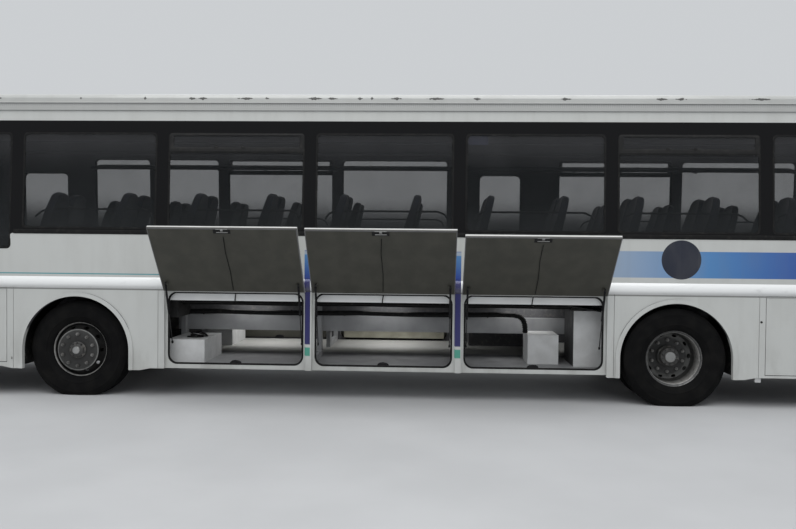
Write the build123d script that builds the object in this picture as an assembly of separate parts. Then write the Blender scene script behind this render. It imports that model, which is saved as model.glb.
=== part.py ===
"""A 12 m coach with underfloor lockers, its three left locker doors open.

Millimetres. X runs rearwards, Y from the coach's left side (negative) to its right, Z up from the ground.
The origin is on the ground, on the centre line, midway between the two axles.
"""
import os
from math import asin, cos, degrees, radians, sin, sqrt

from build123d import *

# Overall sizes
wheelbase = 6250.0
half_width = 1250.0
wall = 40.0
skirt_bottom = 312.0
skirt_top = 1147.0
belt = 1722.0
glass_rise = 53.0
glass_h = 1009.0
band_edge = 129.0
fascia_h = 105.0
cove_h = 182.0
crown_h = 111.0
roof_wall = 45.0
front_overhang = 2125.0
rear_overhang = 2825.0
nose = 535.0
tail = 255.0

front_axle_x = -wheelbase / 2
rear_axle_x = wheelbase / 2
side_front = front_axle_x - front_overhang
side_rear = rear_axle_x + rear_overhang
nose_x = side_front - nose
rear_x = side_rear + tail
far = wheelbase + 750
inner_y = half_width - wall
glass_bottom = belt + glass_rise
glass_top = glass_bottom + glass_h
band_top = glass_top + band_edge
roof_base = band_top + fascia_h
cove_z = roof_base + cove_h
roof_crown = cove_z + crown_h

# Rub rail
rail_h = 120.0
rail_bulge = 20.0
rail_bottom = skirt_top
rail_top = rail_bottom + rail_h

# Plan of the body
front_corner_r = 330.0
front_bow_r = 4600.0
bow_spread = 110.0
rear_corner_r = 230.0
bow_folds = 3
corner_folds = 6
bow_half = half_width - bow_spread

# Body levels: height, half width, front of the bow, rear face
top_half = half_width - 60
band_half = half_width - 55
LEVELS = [
    (290.0, half_width, nose_x + 35, rear_x - 40),
    (620.0, half_width, nose_x, rear_x),
    (rail_top, half_width, nose_x + 15, rear_x),
    (belt, half_width, nose_x + 60, rear_x - 5),
    (band_top, band_half, nose_x + 215, rear_x - 55),
    (roof_base, top_half, nose_x + 237, rear_x - 65),
]

# Roof section
cove_r = 75.0
cove_inset = 60.0
skin_half = top_half - 290

# Side bays
pillar_lead = 914.0
pillar_trail = 671.0
pillar_half = 64.0
bay = (wheelbase - pillar_lead - pillar_trail) / 3
pillars = [front_axle_x + pillar_lead + bay * step for step in range(-1, 5)] + [rear_axle_x + 2439]
locker_centres = [pillars[step] + bay / 2 for step in (1, 2, 3)]

# Lockers
opening_w = bay - 115
opening_h = 778.0
opening_top = skirt_top - 14
opening_r = 100.0
frame_t = 35.0
door_w = bay - 75
door_h = 841.0
door_t = 34.0
door_gap = 6.0
hinge_z = opening_top
hinge_inset = 3.0
bead_r = 8.0
hinge_clearance = 0.3
neck_t = 6.0
neck_h = 24.0
door_open = (141.8, 140.9, 135.7)
block_drop = 15.0
frame_y = inner_y - frame_t
hinge_y = half_width - hinge_inset

# Wheel arches
arch_r = 570.0
arch_z = 490.0
lip_w = 45.0
lip_t = 12.0

# Wheels
axle_z = 487.0
tyre_r = 522.0
tyre_half_w = 147.0
shoulder = 16.0
rim_r = 285.7
seat_gap = 0.3
rim_half_w = 110.0
front_track_half = half_width - 210
rear_outer_half = half_width - 172
twin_pitch = 336.0
kingpin_y = front_track_half - 140
steer_lock = 38.0
spindle_r = 40.0
spindle_clearance = 0.4

# Steering wheel: middle of its rim, lean of its shaft, radius
steering_place = (side_front + 230, -620.0, belt - 282)
steering_tilt = 28.0
steering_r = 225.0
shaft_l = 120.0

# Lamps and engine door
lamp_proud = 3.0
engine_door_w = 1440.0
engine_door_h = 660.0
engine_hinge_z = 1255.0

# Underframe
rail_outer = 400.0
rail_w = 60.0
rail_z0 = 640.0
rail_z1 = 817.0
rail_web = 8.0
beam_w = 50.0
beam_t = 45.0
tow_eye_r = 20.0
eye_t = 20.0
platform_z = opening_top - 3
platform_t = 30.0
aisle_z = 860.0
aisle_half = 330.0
aisle_wall = 20.0
locker_floor_z = 355.0
locker_floor_t = 25.0
bay_front = front_axle_x + 925
bay_rear = rear_axle_x - 685

# Doors on the right side: low x, high x
FRONT_DOOR = (front_axle_x - 1995, front_axle_x - 1115)
MIDDLE_DOOR = (pillars[3] + 221, pillars[3] + 1041)
door_sill = 345.0
door_head = glass_top - 94
door_seal = 0.5
well_t = 10.0
front_well_y = 500.0
middle_well_y = 400.0
door_light = (belt - 392, door_head - 100)
door_frame = 130.0
pane_gap = 0.4

# Windscreen and rear window: heights, half width
windscreen_z = (belt - 392, glass_top + 16)
windscreen_half = half_width - 140
rear_window_z = (belt + 178, glass_top - 34)
rear_window_half = half_width - 350
front_reach = (-far, side_front + 250)
rear_reach = (side_rear - 950, far)

# Side flaps: low x, high x, low edge
RIGHT_FLAPS = [(rear_axle_x + 897, rear_axle_x + 2205, 343.0)]
LEFT_FLAPS = [(front_axle_x - 2055, front_axle_x - 745, 360.0)] + RIGHT_FLAPS
groove_w = 4.0
GROOVES = [front_axle_x - 672, front_axle_x + 878, rear_axle_x - 635, rear_axle_x + 826]

# Gas struts: ball on the shut door from its hinge line, ball on the frame, as Y and Z on the left
door_ball = (54.0, -140.0)
frame_ball = (25 - frame_y, hinge_z - 553)
strut_side = opening_w / 2 - 30
barrel_r = 11.0
rod_r = 5.0
barrel_l = 345.0
rod_stop = 30.0
rod_hold = 40.0
ball_pin_r = 4.0
eye_r = 12.0
eye_l = 12.0

# Seats
seat_pitch = bay / 2
seat_w = inner_y - aisle_half - 55


def block(x0, x1, y0, y1, z0, z1):
    """A box between its low and high values."""
    return Pos((x0 + x1) / 2, (y0 + y1) / 2, (z0 + z1) / 2) * Box(x1 - x0, y1 - y0, z1 - z0)


def side_prism(sketch, y0, y1):
    """A side view, drawn in X and Z, made solid from y0 to y1."""
    return extrude(Plane.XZ.offset(-y0) * sketch, amount=y0 - y1)


def section_prism(sketch, x0, x1):
    """A cross section, drawn in Y and Z, made solid from x0 to x1."""
    return extrude(Plane.YZ.offset(x0) * sketch, amount=x1 - x0)


def area(*points):
    """A flat shape from its corner points."""
    return make_face(Polyline(*points, close=True))


def rounded(x0, x1, z0, z1, r):
    """A rounded rectangle in the drawing plane."""
    return Pos((x0 + x1) / 2, (z0 + z1) / 2) * RectangleRounded(x1 - x0, z1 - z0, r)


def both_sides(shape):
    """The shape and its mirror image on the other side of the coach."""
    return [shape, mirror(shape, about=Plane.XZ)]


def other_side(shape):
    """The mirror image on the other side of the coach."""
    return mirror(shape, about=Plane.XZ)


def bend(centre_x, centre_y, radius, low, high, folds):
    """Points on a bend that faces forwards and to the right, from one angle to another in even folds."""
    turns = [radians(low + (high - low) * step / folds) for step in range(folds + 1)]
    return [(centre_x - radius * cos(turn), centre_y + radius * sin(turn)) for turn in turns]


def outline(level, inset):
    """Points round the body's plan at one level, moved in from its skin by inset, its bends in flats."""
    z, half, front, rear = level
    spread = half - bow_half
    half, front, rear = half - inset, front + inset, rear - inset
    corner, bow, back = front_corner_r - inset, front_bow_r - inset, rear_corner_r - inset
    corner_y = half - corner
    reach = sqrt((bow - corner) ** 2 - (corner_y - spread) ** 2)
    sweep = degrees(asin((corner_y - spread) / (bow - corner)))
    right = bend(front + bow, spread, bow, 0, sweep, bow_folds)
    right += bend(front + bow - reach, corner_y, corner, sweep, 90, corner_folds)[1:]
    right += bend(rear - back, half - back, back, 90, 180, corner_folds)
    return [(x, y, z) for x, y in right] + [(x, -y, z) for x, y in reversed(right)]


def flat_face(points):
    """A flat face in space from its corner points."""
    return Face(Wire.make_polygon(points))


def body_form(inset):
    """The solid form of the body up to the roof, moved in from its skin by inset, in flat faces."""
    rings = [outline(level, inset) for level in LEVELS]
    faces = [flat_face(rings[0]), flat_face(rings[-1])]
    for low, high in zip(rings, rings[1:]):
        for step in range(len(low)):
            faces.append(flat_face([low[step - 1], low[step], high[step], high[step - 1]]))
    return Solid(Shell(faces))


def layer(outer, inner):
    """The skin between two insets."""
    return body_form(outer).cut(body_form(inner))


def slope_inset(z):
    """How far the side leans in at a height."""
    return (half_width - band_half) * max(0.0, z - belt) / (band_top - belt)


# Openings in the sides
LEFT_WINDOWS = [(side_front + 60, pillars[0] - pillar_half, belt - 162)]
LEFT_WINDOWS += [(a + pillar_half, b - pillar_half, glass_bottom) for a, b in zip(pillars, pillars[1:])]
RIGHT_WINDOWS = [
    (FRONT_DOOR[1] + 251, pillars[1] - 1014, glass_bottom),
    (pillars[1] - 939, pillars[1] - pillar_half, glass_bottom),
    (pillars[1] + pillar_half, pillars[2] - pillar_half, glass_bottom),
    (pillars[2] + pillar_half, pillars[3] - pillar_half, glass_bottom),
    (pillars[4] - 144, pillars[5] - 209, glass_bottom),
    (pillars[5] - 79, pillars[6] - 144, glass_bottom),
]
window_r = 45.0


def window_cut(windows, y0, y1, gap=0.0):
    """The prisms of a row of side windows, made smaller by gap."""
    cuts = []
    for x0, x1, z0 in windows:
        cuts.append(side_prism(rounded(x0 + gap, x1 - gap, z0 + gap, glass_top - gap, window_r), y0, y1))
    return cuts


def door_cut(span, gap=0.0):
    """The prism of a passenger door's opening, made smaller by gap."""
    x0, x1 = span
    return side_prism(rounded(x0 + gap, x1 - gap, door_sill + gap, door_head - gap, 60), 900, half_width + 60)


def end_cut(half, heights, x0, x1, gap=0.0):
    """The prism of a windscreen or rear window, made smaller by gap."""
    return section_prism(rounded(-half + gap, half - gap, heights[0] + gap, heights[1] - gap, 120), x0, x1)


def arch_outline(centre_x, radius, low):
    """A wheel arch, round above its centre and straight below it down to low."""
    x0, x1 = centre_x - radius, centre_x + radius
    return make_face(
        Line((x0, low), (x0, arch_z))
        + ThreePointArc((x0, arch_z), (centre_x, arch_z + radius), (x1, arch_z))
        + Line((x1, arch_z), (x1, low))
        + Line((x1, low), (x0, low))
    )


def skirt_shape(doors, flaps):
    """The lower side panel in X and Z, with its arches, feet and door rebates."""
    shape = oblong(side_front, side_rear, skirt_bottom, skirt_top)
    for x in (front_axle_x, rear_axle_x):
        foot = arch_r + 115
        rise = arch_r + 235
        base = skirt_bottom + 1
        shape += area((x - rise, base), (x - foot, 290), (x + foot, 290), (x + rise, base))
    for x in (front_axle_x, rear_axle_x):
        shape -= arch_outline(x, arch_r, 200)
    for x in doors:
        half = door_w / 2 + door_gap
        shape -= oblong(x - half, x + half, 200, skirt_top)
    for x0, x1, z0 in flaps:
        shape -= oblong(x0 - door_gap, x1 + door_gap, z0 - door_gap, skirt_top)
    return shape


def hinge_seat(x0, x1):
    """The hooked strip that carries a locker door's hinge bead, on the left side."""
    strip = block(x0, x1, -half_width, -inner_y, hinge_z - block_drop, skirt_top)
    groove = bead_r + hinge_clearance
    strip -= Pos((x0 + x1) / 2, -hinge_y, hinge_z) * Rot(0, 90, 0) * Cylinder(groove, x1 - x0)
    strip -= block(x0, x1, -half_width - 1, -hinge_y, hinge_z - 50, skirt_top)
    return strip - block(x0, x1, -half_width - 1, -hinge_y + groove, hinge_z - 50, hinge_z)


def hung_door(x0, x1, height):
    """A side door hanging shut from its hinge bead, on the left side."""
    bottom = hinge_z - height
    panel = block(x0, x1, -half_width, -half_width + door_t, bottom, hinge_z - neck_h)
    neck = block(x0, x1, -half_width, -half_width + neck_t, hinge_z - neck_h, hinge_z)
    bead = Pos((x0 + x1) / 2, -hinge_y, hinge_z) * Rot(0, 90, 0) * Cylinder(bead_r, x1 - x0)
    return panel + neck + bead


def swung(shape, angle):
    """A left side shape turned about the door hinge line by an angle, positive opens it."""
    about = Axis((0, -hinge_y, hinge_z), (-1, 0, 0))
    return shape.rotate(about, angle)


def to_rear(shape):
    """A left side shape turned to face rearwards and raised to the engine door's hinge."""
    return Pos(rear_x - half_width, 0, engine_hinge_z - hinge_z) * Rot(0, 0, 90) * shape


def oblong(x0, x1, z0, z1):
    """A square-cornered rectangle in the drawing plane."""
    return area((x0, z0), (x1, z0), (x1, z1), (x0, z1))


def skirt(doors, flaps):
    """The lower left side: panels, locker frames and hinge seats."""
    shape = side_prism(skirt_shape(doors, flaps), -half_width, -inner_y)
    for x in GROOVES:
        shape -= block(x, x + groove_w, -half_width, -half_width + wall / 2, 200, skirt_top)
    for x in (front_axle_x, rear_axle_x):
        ring = arch_outline(x, arch_r + lip_w, 290) - arch_outline(x, arch_r, 280)
        shape += side_prism(ring, -half_width - lip_t, -half_width)
    header = opening_top - neck_h / 2
    frames = [block(side_front, side_rear, -inner_y, -frame_y, header, skirt_top)]
    for x in doors:
        half = opening_w / 2
        ring = oblong(x - bay / 2, x + bay / 2, skirt_bottom, skirt_top)
        ring -= rounded(x - half, x + half, opening_top - opening_h, header, opening_r)
        frames.append(side_prism(ring, -inner_y, -frame_y))
    for x0, x1, z0 in flaps:
        ring = oblong(x0 - 40, x1 + 40, z0 - 30, skirt_top)
        ring -= rounded(x0 + 30, x1 - 30, z0 + 30, hinge_z - 40, 60)
        frames.append(side_prism(ring, -inner_y, -frame_y))
    for frame in frames:
        shape += frame
    for x in doors:
        shape += hinge_seat(x - door_w / 2 - door_gap, x + door_w / 2 + door_gap)
    for x0, x1, _ in flaps:
        shape += hinge_seat(x0 - door_gap, x1 + door_gap)
    return shape


# Lamps: low y, high y, low z, high z, low x, high x, on the right side
HEAD_LAMP = (half_width - 610, half_width - 130, 640.0, 840.0, *front_reach)
TAIL_LAMP = (half_width - 290, half_width - 70, 760.0, 1500.0, *rear_reach)


def lamp_prisms(lamp, gap=0.0):
    """The prisms of a lamp and its twin on the left, made smaller by gap."""
    y0, y1, z0, z1, x0, x1 = lamp
    return both_sides(section_prism(rounded(y0 + gap, y1 - gap, z0 + gap, z1 - gap, 40), x0, x1))


def door_light_cut(span, gap=0.0):
    """The prism of the window in a passenger door, made smaller by gap."""
    z0, z1 = door_light
    sketch = rounded(span[0] + gap, span[1] - gap, z0 + gap, z1 - gap, 70)
    return side_prism(sketch, 900, half_width + 60)


pieces = {}


def body_shell():
    """Sides, ends and glass, cut from the lofted skin."""
    skin = layer(0, wall)
    glass = layer(3, 9)
    big = 2 * half_width
    behind = block(side_front, far, -big, big, 0, roof_crown)
    before = block(-far, side_rear, -big, big, 0, roof_crown)
    sides = skin.cut(block(-far, side_front, -big, big, 0, roof_crown),
                     block(side_rear, far, -big, big, 0, roof_crown),
                     block(-far, far, -big, big, 0, skirt_top))
    doors = [door_cut(span) for span in (FRONT_DOOR, MIDDLE_DOOR)]
    half = engine_door_w / 2 + door_gap
    engine_bottom = hinge_z - engine_door_h - door_gap
    engine_hole = to_rear(block(-half, half, -half_width - 1, -inner_y + 1, engine_bottom, skirt_top))
    lamp_skin = layer(-lamp_proud, wall - 6)
    windscreen = end_cut(windscreen_half, windscreen_z, *front_reach)
    back_light = end_cut(rear_window_half, rear_window_z, *rear_reach)
    rear = skin.cut(before, back_light, engine_hole, *lamp_prisms(TAIL_LAMP))
    pieces["head_lamps"] = [lamp_skin.intersect(lens) for lens in lamp_prisms(HEAD_LAMP, pane_gap)]
    pieces["tail_lamps"] = [lamp_skin.intersect(lens) for lens in lamp_prisms(TAIL_LAMP, pane_gap)]
    pieces["front_end"] = skin.cut(behind, windscreen, *lamp_prisms(HEAD_LAMP))
    pieces["rear_end"] = rear.fuse(to_rear(hinge_seat(-half, half)))
    pieces["engine_door"] = to_rear(hung_door(-engine_door_w / 2, engine_door_w / 2, engine_door_h))
    pieces["left_side"] = sides.cut(block(-far, far, 0, big, 0, roof_crown),
                                    *window_cut(LEFT_WINDOWS, -half_width - 60, -900))
    pieces["right_side"] = sides.cut(block(-far, far, -big, 0, 0, roof_crown), *doors,
                                     *window_cut(RIGHT_WINDOWS, 900, half_width + 60))
    pieces["windscreen"] = glass.intersect(end_cut(windscreen_half, windscreen_z, *front_reach, pane_gap))
    panes = [end_cut(rear_window_half, rear_window_z, *rear_reach, pane_gap)]
    panes += window_cut(LEFT_WINDOWS, -half_width - 60, -900, pane_gap)
    panes += window_cut(RIGHT_WINDOWS, 900, half_width + 60, pane_gap)
    for name, span in (("front_door", FRONT_DOOR), ("middle_door", MIDDLE_DOOR)):
        light = (span[0] + door_frame, span[1] - door_frame)
        panel = skin.intersect(door_cut(span, door_seal))
        pieces[name] = [leaf.cut(door_light_cut(light)) for leaf in panel]
        panes.append(door_light_cut(light, pane_gap))
    pieces["window_glass"] = [glass.intersect(pane) for pane in panes]


def roof_section(inset):
    """The roof's cross section in Y and Z, moved in by inset."""
    half = top_half - inset
    crown = roof_crown - inset
    edge_y, edge_z = half - cove_inset, cove_z - inset
    top = ThreePointArc((-edge_y, edge_z), (0, crown), (edge_y, edge_z))
    low = edge_z - cove_r
    dip = cove_r * 0.27
    left = ThreePointArc((-half, low), (-half + dip * 0.72, edge_z - dip), (-edge_y, edge_z))
    right = ThreePointArc((edge_y, edge_z), (half - dip * 0.72, edge_z - dip), (half, low))
    base = Line((half, low), (half, roof_base)) + Line((half, roof_base), (-half, roof_base))
    return make_face(left + top + right + base + Line((-half, roof_base), (-half, low)))


def roof():
    """The roof: its end caps, its middle skin with two hatches, and its coves with their gutters."""
    top = LEVELS[-1]
    shapes = []
    for inset in (0.0, roof_wall):
        plan = extrude(flat_face(outline(top, inset)), amount=roof_crown - roof_base + 1, dir=(0, 0, 1))
        front, rear = top[2] + inset, top[3] - inset
        crown = roof_crown - inset
        low = roof_base
        brow = 150.0
        view = make_face(
            Line((front, low), (front, low + 60))
            + ThreePointArc((front, low + 60), (front + 90, crown - 75), (front + 300, crown + 5))
            + Line((front + 300, crown + 5), (rear - brow, crown + 5))
            + ThreePointArc((rear - brow, crown + 5), (rear - 40, crown - 40), (rear, crown - brow))
            + Line((rear, crown - brow), (rear, low))
            + Line((rear, low), (front, low))
        )
        form = section_prism(roof_section(inset), front - 1, rear + 1) & plan
        shapes.append(form & side_prism(view, -half_width, half_width))
    shell = shapes[0] - shapes[1]
    big, high = 2 * half_width, roof_crown + 100
    caps = [shell & block(-far, side_front, -big, big, 0, high), shell & block(side_rear, far, -big, big, 0, high)]
    centre = shell & block(side_front, side_rear, -skin_half, skin_half, 0, high)
    for x in (front_axle_x + 725, rear_axle_x - 525):
        hatch = block(x - 400, x + 400, -380, 380, roof_crown - 30, roof_crown + 35)
        centre += hatch - shapes[1]
    cove = shell & block(side_front, side_rear, -big, -skin_half, 0, high)
    return caps + [centre] + both_sides(cove + gutter(side_front + 150, side_rear - 70))


def rub_rail(x0, x1):
    """A rounded rub rail on the left side."""
    half = (rail_top - rail_bottom) / 2
    mid = (rail_top + rail_bottom) / 2
    face = make_face(
        ThreePointArc((-half_width, mid - half), (-half_width - rail_bulge, mid), (-half_width, mid + half))
        + Line((-half_width, mid + half), (-half_width, mid - half))
    )
    return section_prism(face, x0, x1)


def gutter(x0, x1):
    """The gutter channel along the left edge of the roof."""
    y, z = -top_half, roof_base
    face = area((y, z + 4), (y - 14, z + 4), (y - 14, z + 39), (y - 5, z + 39), (y - 5, z + 80),
                (y - 22, z + 80), (y - 22, z + 88), (y, z + 94))
    return section_prism(face, x0, x1)


def spans(low, high, gap):
    """The stretches of low to high that a gap leaves."""
    return [(low, gap[0]), (gap[1], high)]


def underframe():
    """Channel rails, cross members, cross frames, top beams, sills and tow eyes, each its own bar."""
    y1, y0 = -rail_outer, -rail_outer + rail_w
    z0, z1 = rail_z0 + rail_web, rail_z1 - rail_web
    channel = area((y1, rail_z0), (y0, rail_z0), (y0, z0), (y1 + rail_web, z0),
                   (y1 + rail_web, z1), (y0, z1), (y0, rail_z1), (y1, rail_z1))
    bars = both_sides(section_prism(channel, side_front - 200, side_rear - 50))
    for eye_x, x0, x1 in ((side_front - 270, -60, 120), (side_rear + 40, -140, 60)):
        plate = block(eye_x + x0, eye_x + x1, y1 - 10, y0 + 10, rail_z0 - eye_t, rail_z0)
        bars.append(plate - Pos(eye_x, (y0 + y1) / 2, rail_z0 - eye_t / 2) * Cylinder(tow_eye_r, 2 * eye_t))
    half = beam_w / 2
    web_y = rail_outer - rail_web
    frames = (bay_front - half, pillars[2], pillars[3], bay_rear + half)
    front_step, tail_beam = front_axle_x - 675, side_rear - 150
    crosses = (side_front - 50, front_axle_x - 1125, front_step, front_axle_x + 625, rear_axle_x - 605,
               rear_axle_x + 675, rear_axle_x + 1175, tail_beam)
    for x in crosses + frames:
        bars.append(block(x - half, x + half, -web_y, web_y, z0, z1))
    outer, inner = frame_y, frame_y - beam_t
    under = platform_z - platform_t
    left = []
    for x in frames:
        panel = block(x - half, x + half, -inner, -rail_outer, skirt_bottom, under)
        panel -= block(x - half, x + half, 55 - inner, -rail_outer - 70, locker_floor_z + 60, 1020)
        left.append(panel)
        left.append(block(x - half, x + half, y1, y0, skirt_bottom, rail_z0))
    outriggers = ((front_step, outer), (rear_axle_x + 825, inner), (rear_axle_x + 1475, inner), (tail_beam, inner))
    for x, reach in outriggers:
        left.append(block(x - half, x + half, -reach, y1 - 30, 1040, under))
        left.append(block(x - half, x + half, y1 - 30, y1, rail_z0, under))
    left.append(block(rear_axle_x + 825 - half, tail_beam + half, -outer, -inner, 1040, under))
    left.append(block(bay_front - beam_w, bay_rear + beam_w, -outer, -inner, skirt_bottom,
                      locker_floor_z - locker_floor_t))
    bars += left + [other_side(bar) for bar in left]
    beam = (bay_front - beam_w, bay_rear + beam_w)
    bars.append(block(*beam, -outer, -inner, 1027, under))
    for x0, x1 in spans(*beam, (MIDDLE_DOOR[0] - well_t, MIDDLE_DOOR[1] + well_t)):
        bars.append(block(x0, x1, inner, outer, 1027, under))
    cab_bars = (front_axle_x - 2075, front_axle_x - 1075)
    for x in cab_bars:
        bars.append(block(x - half, x + half, -inner, y1, rail_z1 - 60, rail_z1))
        bars.append(block(x - half, x + half, rail_outer, outer, rail_z1 - 60, rail_z1))
    bars.append(block(cab_bars[0] - half, cab_bars[1] + half, -outer, -inner, rail_z1 - 60, rail_z1))
    return bars


def saloon_floor():
    """The seat platforms, the lowered aisle with its walls, and the cab floor."""
    y_wall = frame_y
    under = platform_z - platform_t
    a, b = aisle_half, aisle_half + aisle_wall
    low = rail_z1
    front, back = front_axle_x - 1025, rear_axle_x + 1025
    gap = (MIDDLE_DOOR[0] - well_t, MIDDLE_DOOR[1] + well_t)
    sheets = [block(front, back, -a, a, low, aisle_z), block(front, back, -y_wall, -b, under, platform_z)]
    sheets += both_sides(block(front, back, -b, -a, low, platform_z))
    sheets += [block(x0, x1, b, y_wall, under, platform_z) for x0, x1 in spans(front, back, gap)]
    sheets.append(block(*gap, b, middle_well_y, under, platform_z))
    sheets.append(block(back, side_rear, -y_wall, y_wall, under, platform_z))
    sheets.append(block(back - aisle_wall, back, -a, a, aisle_z, platform_z))
    sheets += both_sides(block(front - aisle_wall, front, -y_wall, -a, aisle_z, platform_z))
    gap = (FRONT_DOOR[0] - well_t, FRONT_DOOR[1] + well_t)
    nose_half = half_width - 250
    sheets.append(block(side_front - 250, side_front, -nose_half, nose_half, low, aisle_z))
    sheets.append(block(side_front, front, -y_wall, front_well_y, low, aisle_z))
    sheets += [block(x0, x1, front_well_y, y_wall, low, aisle_z) for x0, x1 in spans(side_front, front, gap)]
    return sheets


def stairs():
    """The two step wells inside the passenger doors."""
    wells = []
    for (x0, x1), inner, edge in ((FRONT_DOOR, front_well_y, 740), (MIDDLE_DOOR, middle_well_y, 720)):
        steps = ((inner, edge, 640), (edge, inner_y, 380))
        x0, x1 = x0 - well_t, x1 + well_t
        well = block(x0, x1, inner, inner + 20, 640, rail_z1)
        for y0, y1, z in steps:
            well += block(x0, x1, y0, y1, z - 25, z)
        well += block(x0, x1, edge - 20, edge, 355, 640)
        for x in (x0, x1 - 20):
            profile = area((inner, 615), (edge, 615), (edge, 355), (inner_y, 355), (inner_y, rail_z1),
                           (inner, rail_z1))
            cheek = section_prism(profile, x, x + 20)
            well += cheek
        wells.append(well)
    return wells


def luggage_bay():
    """The locker floor, the end walls and the boxes that stand in the lockers."""
    z0, z1 = locker_floor_z - locker_floor_t, locker_floor_z
    side = frame_y
    floor = block(bay_front, bay_rear, -side, side, z0, z1)
    for x in (pillars[2], pillars[3]):
        for y0, y1 in ((-side, -rail_outer + rail_w), (rail_outer - rail_w, side)):
            floor -= block(x - beam_w / 2, x + beam_w / 2, y0, y1, z0, z1)
    floor -= block(MIDDLE_DOOR[0] - well_t, MIDDLE_DOOR[1] + well_t, 700, side, z0, z1)
    tank_box = block(bay_front, bay_front + 400, 95 - side, -rail_outer, z1, z1 + 245)
    shelf = block(bay_front, bay_front + 320, rail_outer, side - 95, z1, z1 + 245)
    box_a = block(bay_rear - 770, bay_rear - 439, 355 - side, -rail_outer, z1, z1 + 318)
    box_b = block(bay_rear - 303, bay_rear, 225 - side, -rail_outer, z1, z1 + 594)
    return floor + tank_box + shelf + box_a + box_b


def wheel_housing(x):
    """A folded sheet box over a left wheel."""
    sheet = 4.0

    def path(grow):
        half, low, top = 600.0 + grow, 640.0, 1075.0 + grow
        left = [(x - half, low), (x - half, 900), (x - 350, top)]
        return left + [(x + 350, top), (x + half, 900), (x + half, low)]

    points = path(sheet) + path(0.0)[::-1]
    return side_prism(area(*points), -inner_y, -rail_outer - 60)


def tyre(centre_y, shoulder):
    """A tyre about the axis Y at the origin, its middle at centre_y, with a chamfered outer shoulder."""
    bore = rim_r + seat_gap
    points = [(bore, -tyre_half_w), (bore, tyre_half_w), (tyre_r - shoulder, tyre_half_w)]
    points += [(tyre_r, tyre_half_w - shoulder), (tyre_r, -tyre_half_w)]
    return Pos(0, centre_y, 0) * revolve(area(*points), Axis.Y, 360)


def front_rim():
    """A front disc wheel with its hub, bulged towards +Y, the wheel's middle at the origin."""
    bore = spindle_r + spindle_clearance
    profile = area((bore, -60), (262, -60), (262, -rim_half_w), (rim_r, -rim_half_w),
                   (rim_r, rim_half_w), (262, rim_half_w), (262, 60), (215, 60), (215, 157), (70, 157),
                   (70, 200), (0, 200), (0, 165), (bore, 165))
    return revolve(profile, Axis.Y, 360)


def rear_rim():
    """A rear twin wheel with its hub, dished towards +Y, the outer wheel's middle at the origin."""
    bore = spindle_r + 20
    back = -twin_pitch - rim_half_w
    profile = area((bore, back), (rim_r, back), (rim_r, rim_half_w), (262, rim_half_w), (262, -140),
                   (105, -140), (105, -20), (0, -20), (0, -120), (bore, -120))
    return revolve(profile, Axis.Y, 360)


def knuckle():
    """A left steering knuckle at its kingpin: fork, kingpin and spindle. The kingpin stands at the origin."""
    fork = block(-45, 45, -62, 45, 50.4, 80) + block(-45, 45, -62, 45, -80, -50.4)
    web = block(-45, 45, -75, -50, -80, 80)
    pin = Cylinder(19.9, 150)
    tip = -(front_track_half + 160 - kingpin_y)
    spindle = Pos(0, (tip - 60) / 2, 0) * Rot(90, 0, 0) * Cylinder(spindle_r, -tip - 60)
    return fork + web + pin + spindle


def axles():
    """The front beam and the rear axle housing."""
    boss = Pos(front_axle_x, -kingpin_y, axle_z) * (Cylinder(45, 100) - Cylinder(20.3, 100))
    bore = Pos(front_axle_x, -kingpin_y, axle_z) * Cylinder(20.3, 300)
    end = kingpin_y - 25
    beam = block(front_axle_x - 40, front_axle_x + 40, -end, end, axle_z - 50, axle_z + 45)
    front = beam - bore + boss - other_side(bore)
    front += other_side(boss)
    tip = rear_outer_half - 120.5
    tube = Pos(rear_axle_x, 0, axle_z) * Rot(90, 0, 0) * Cylinder(spindle_r + 19.5, 2 * tip)
    case = Pos(rear_axle_x, 0, axle_z) * Rot(90, 0, 0) * Cylinder(210, 240)
    arms = block(rear_axle_x - 75, rear_axle_x + 75, -600, 600, axle_z - 75, axle_z + 75)
    return [front, tube + case + arms]


def air_springs():
    """Bellows between the axles and the rails."""
    front_h = rail_z0 - (axle_z + 45)
    rear_h = rail_z0 - (axle_z + 75)
    bags = []
    for y in (-rail_outer + 30, rail_outer - 30):
        bags.append(Pos(front_axle_x, y, axle_z + 45 + front_h / 2) * Cylinder(60, front_h))
        bags.append(Pos(rear_axle_x, y, axle_z + 75 + rear_h / 2) * Cylinder(60, rear_h))
    return bags


def double_seat(x, y0, y1, base_z):
    """A double seat facing forwards, its front edge at x, standing on base_z: its cushion and its back."""
    cushion = base_z + 430
    pan = area((x + 60, base_z), (x + 330, base_z), (x + 330, cushion - 130), (x + 470, cushion - 60),
               (x + 400, cushion + 30), (x + 20, cushion), (x, cushion - 60), (x + 60, cushion - 130))
    back = area((x + 470, cushion - 60), (x + 620, base_z + 1040), (x + 590, base_z + 1060),
                (x + 520, base_z + 1050), (x + 400, cushion + 30))
    return [side_prism(pan, y0, y1), side_prism(back, y0, y1)]


def seats():
    """The rows of double seats on both platforms."""
    rows = []
    inner = aisle_half + 5
    for step in range(12):
        x = front_axle_x - 925 + seat_pitch * step
        rows += double_seat(x, -inner - seat_w, -inner, platform_z)
        if x + 640 < MIDDLE_DOOR[0] - 10 or x > MIDDLE_DOOR[1] + 20:
            rows += double_seat(x, inner, inner + seat_w, platform_z)
    return rows


def parcel_rack():
    """The left parcel rack under the roof."""
    y, z = -inner_y + 75, glass_top - 264
    wall_y = -(inner_y - slope_inset(z + 180)) + door_seal
    face = area((y, z + 140), (y, z + 170), (y + 295, z + 40), (y + 295, z + 100), (y + 320, z + 100), (y + 320, z))
    x0, x1 = front_axle_x - 775, rear_axle_x + 2175
    rack = section_prism(face, x0, x1)
    for x in [x0] + pillars[1:6] + [x1 - 20]:
        bracket = area((wall_y, z + 120), (y + 5, z + 120), (y + 5, z + 180), (wall_y, z + 180))
        rack += section_prism(bracket, x, x + 20)
    return rack


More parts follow.
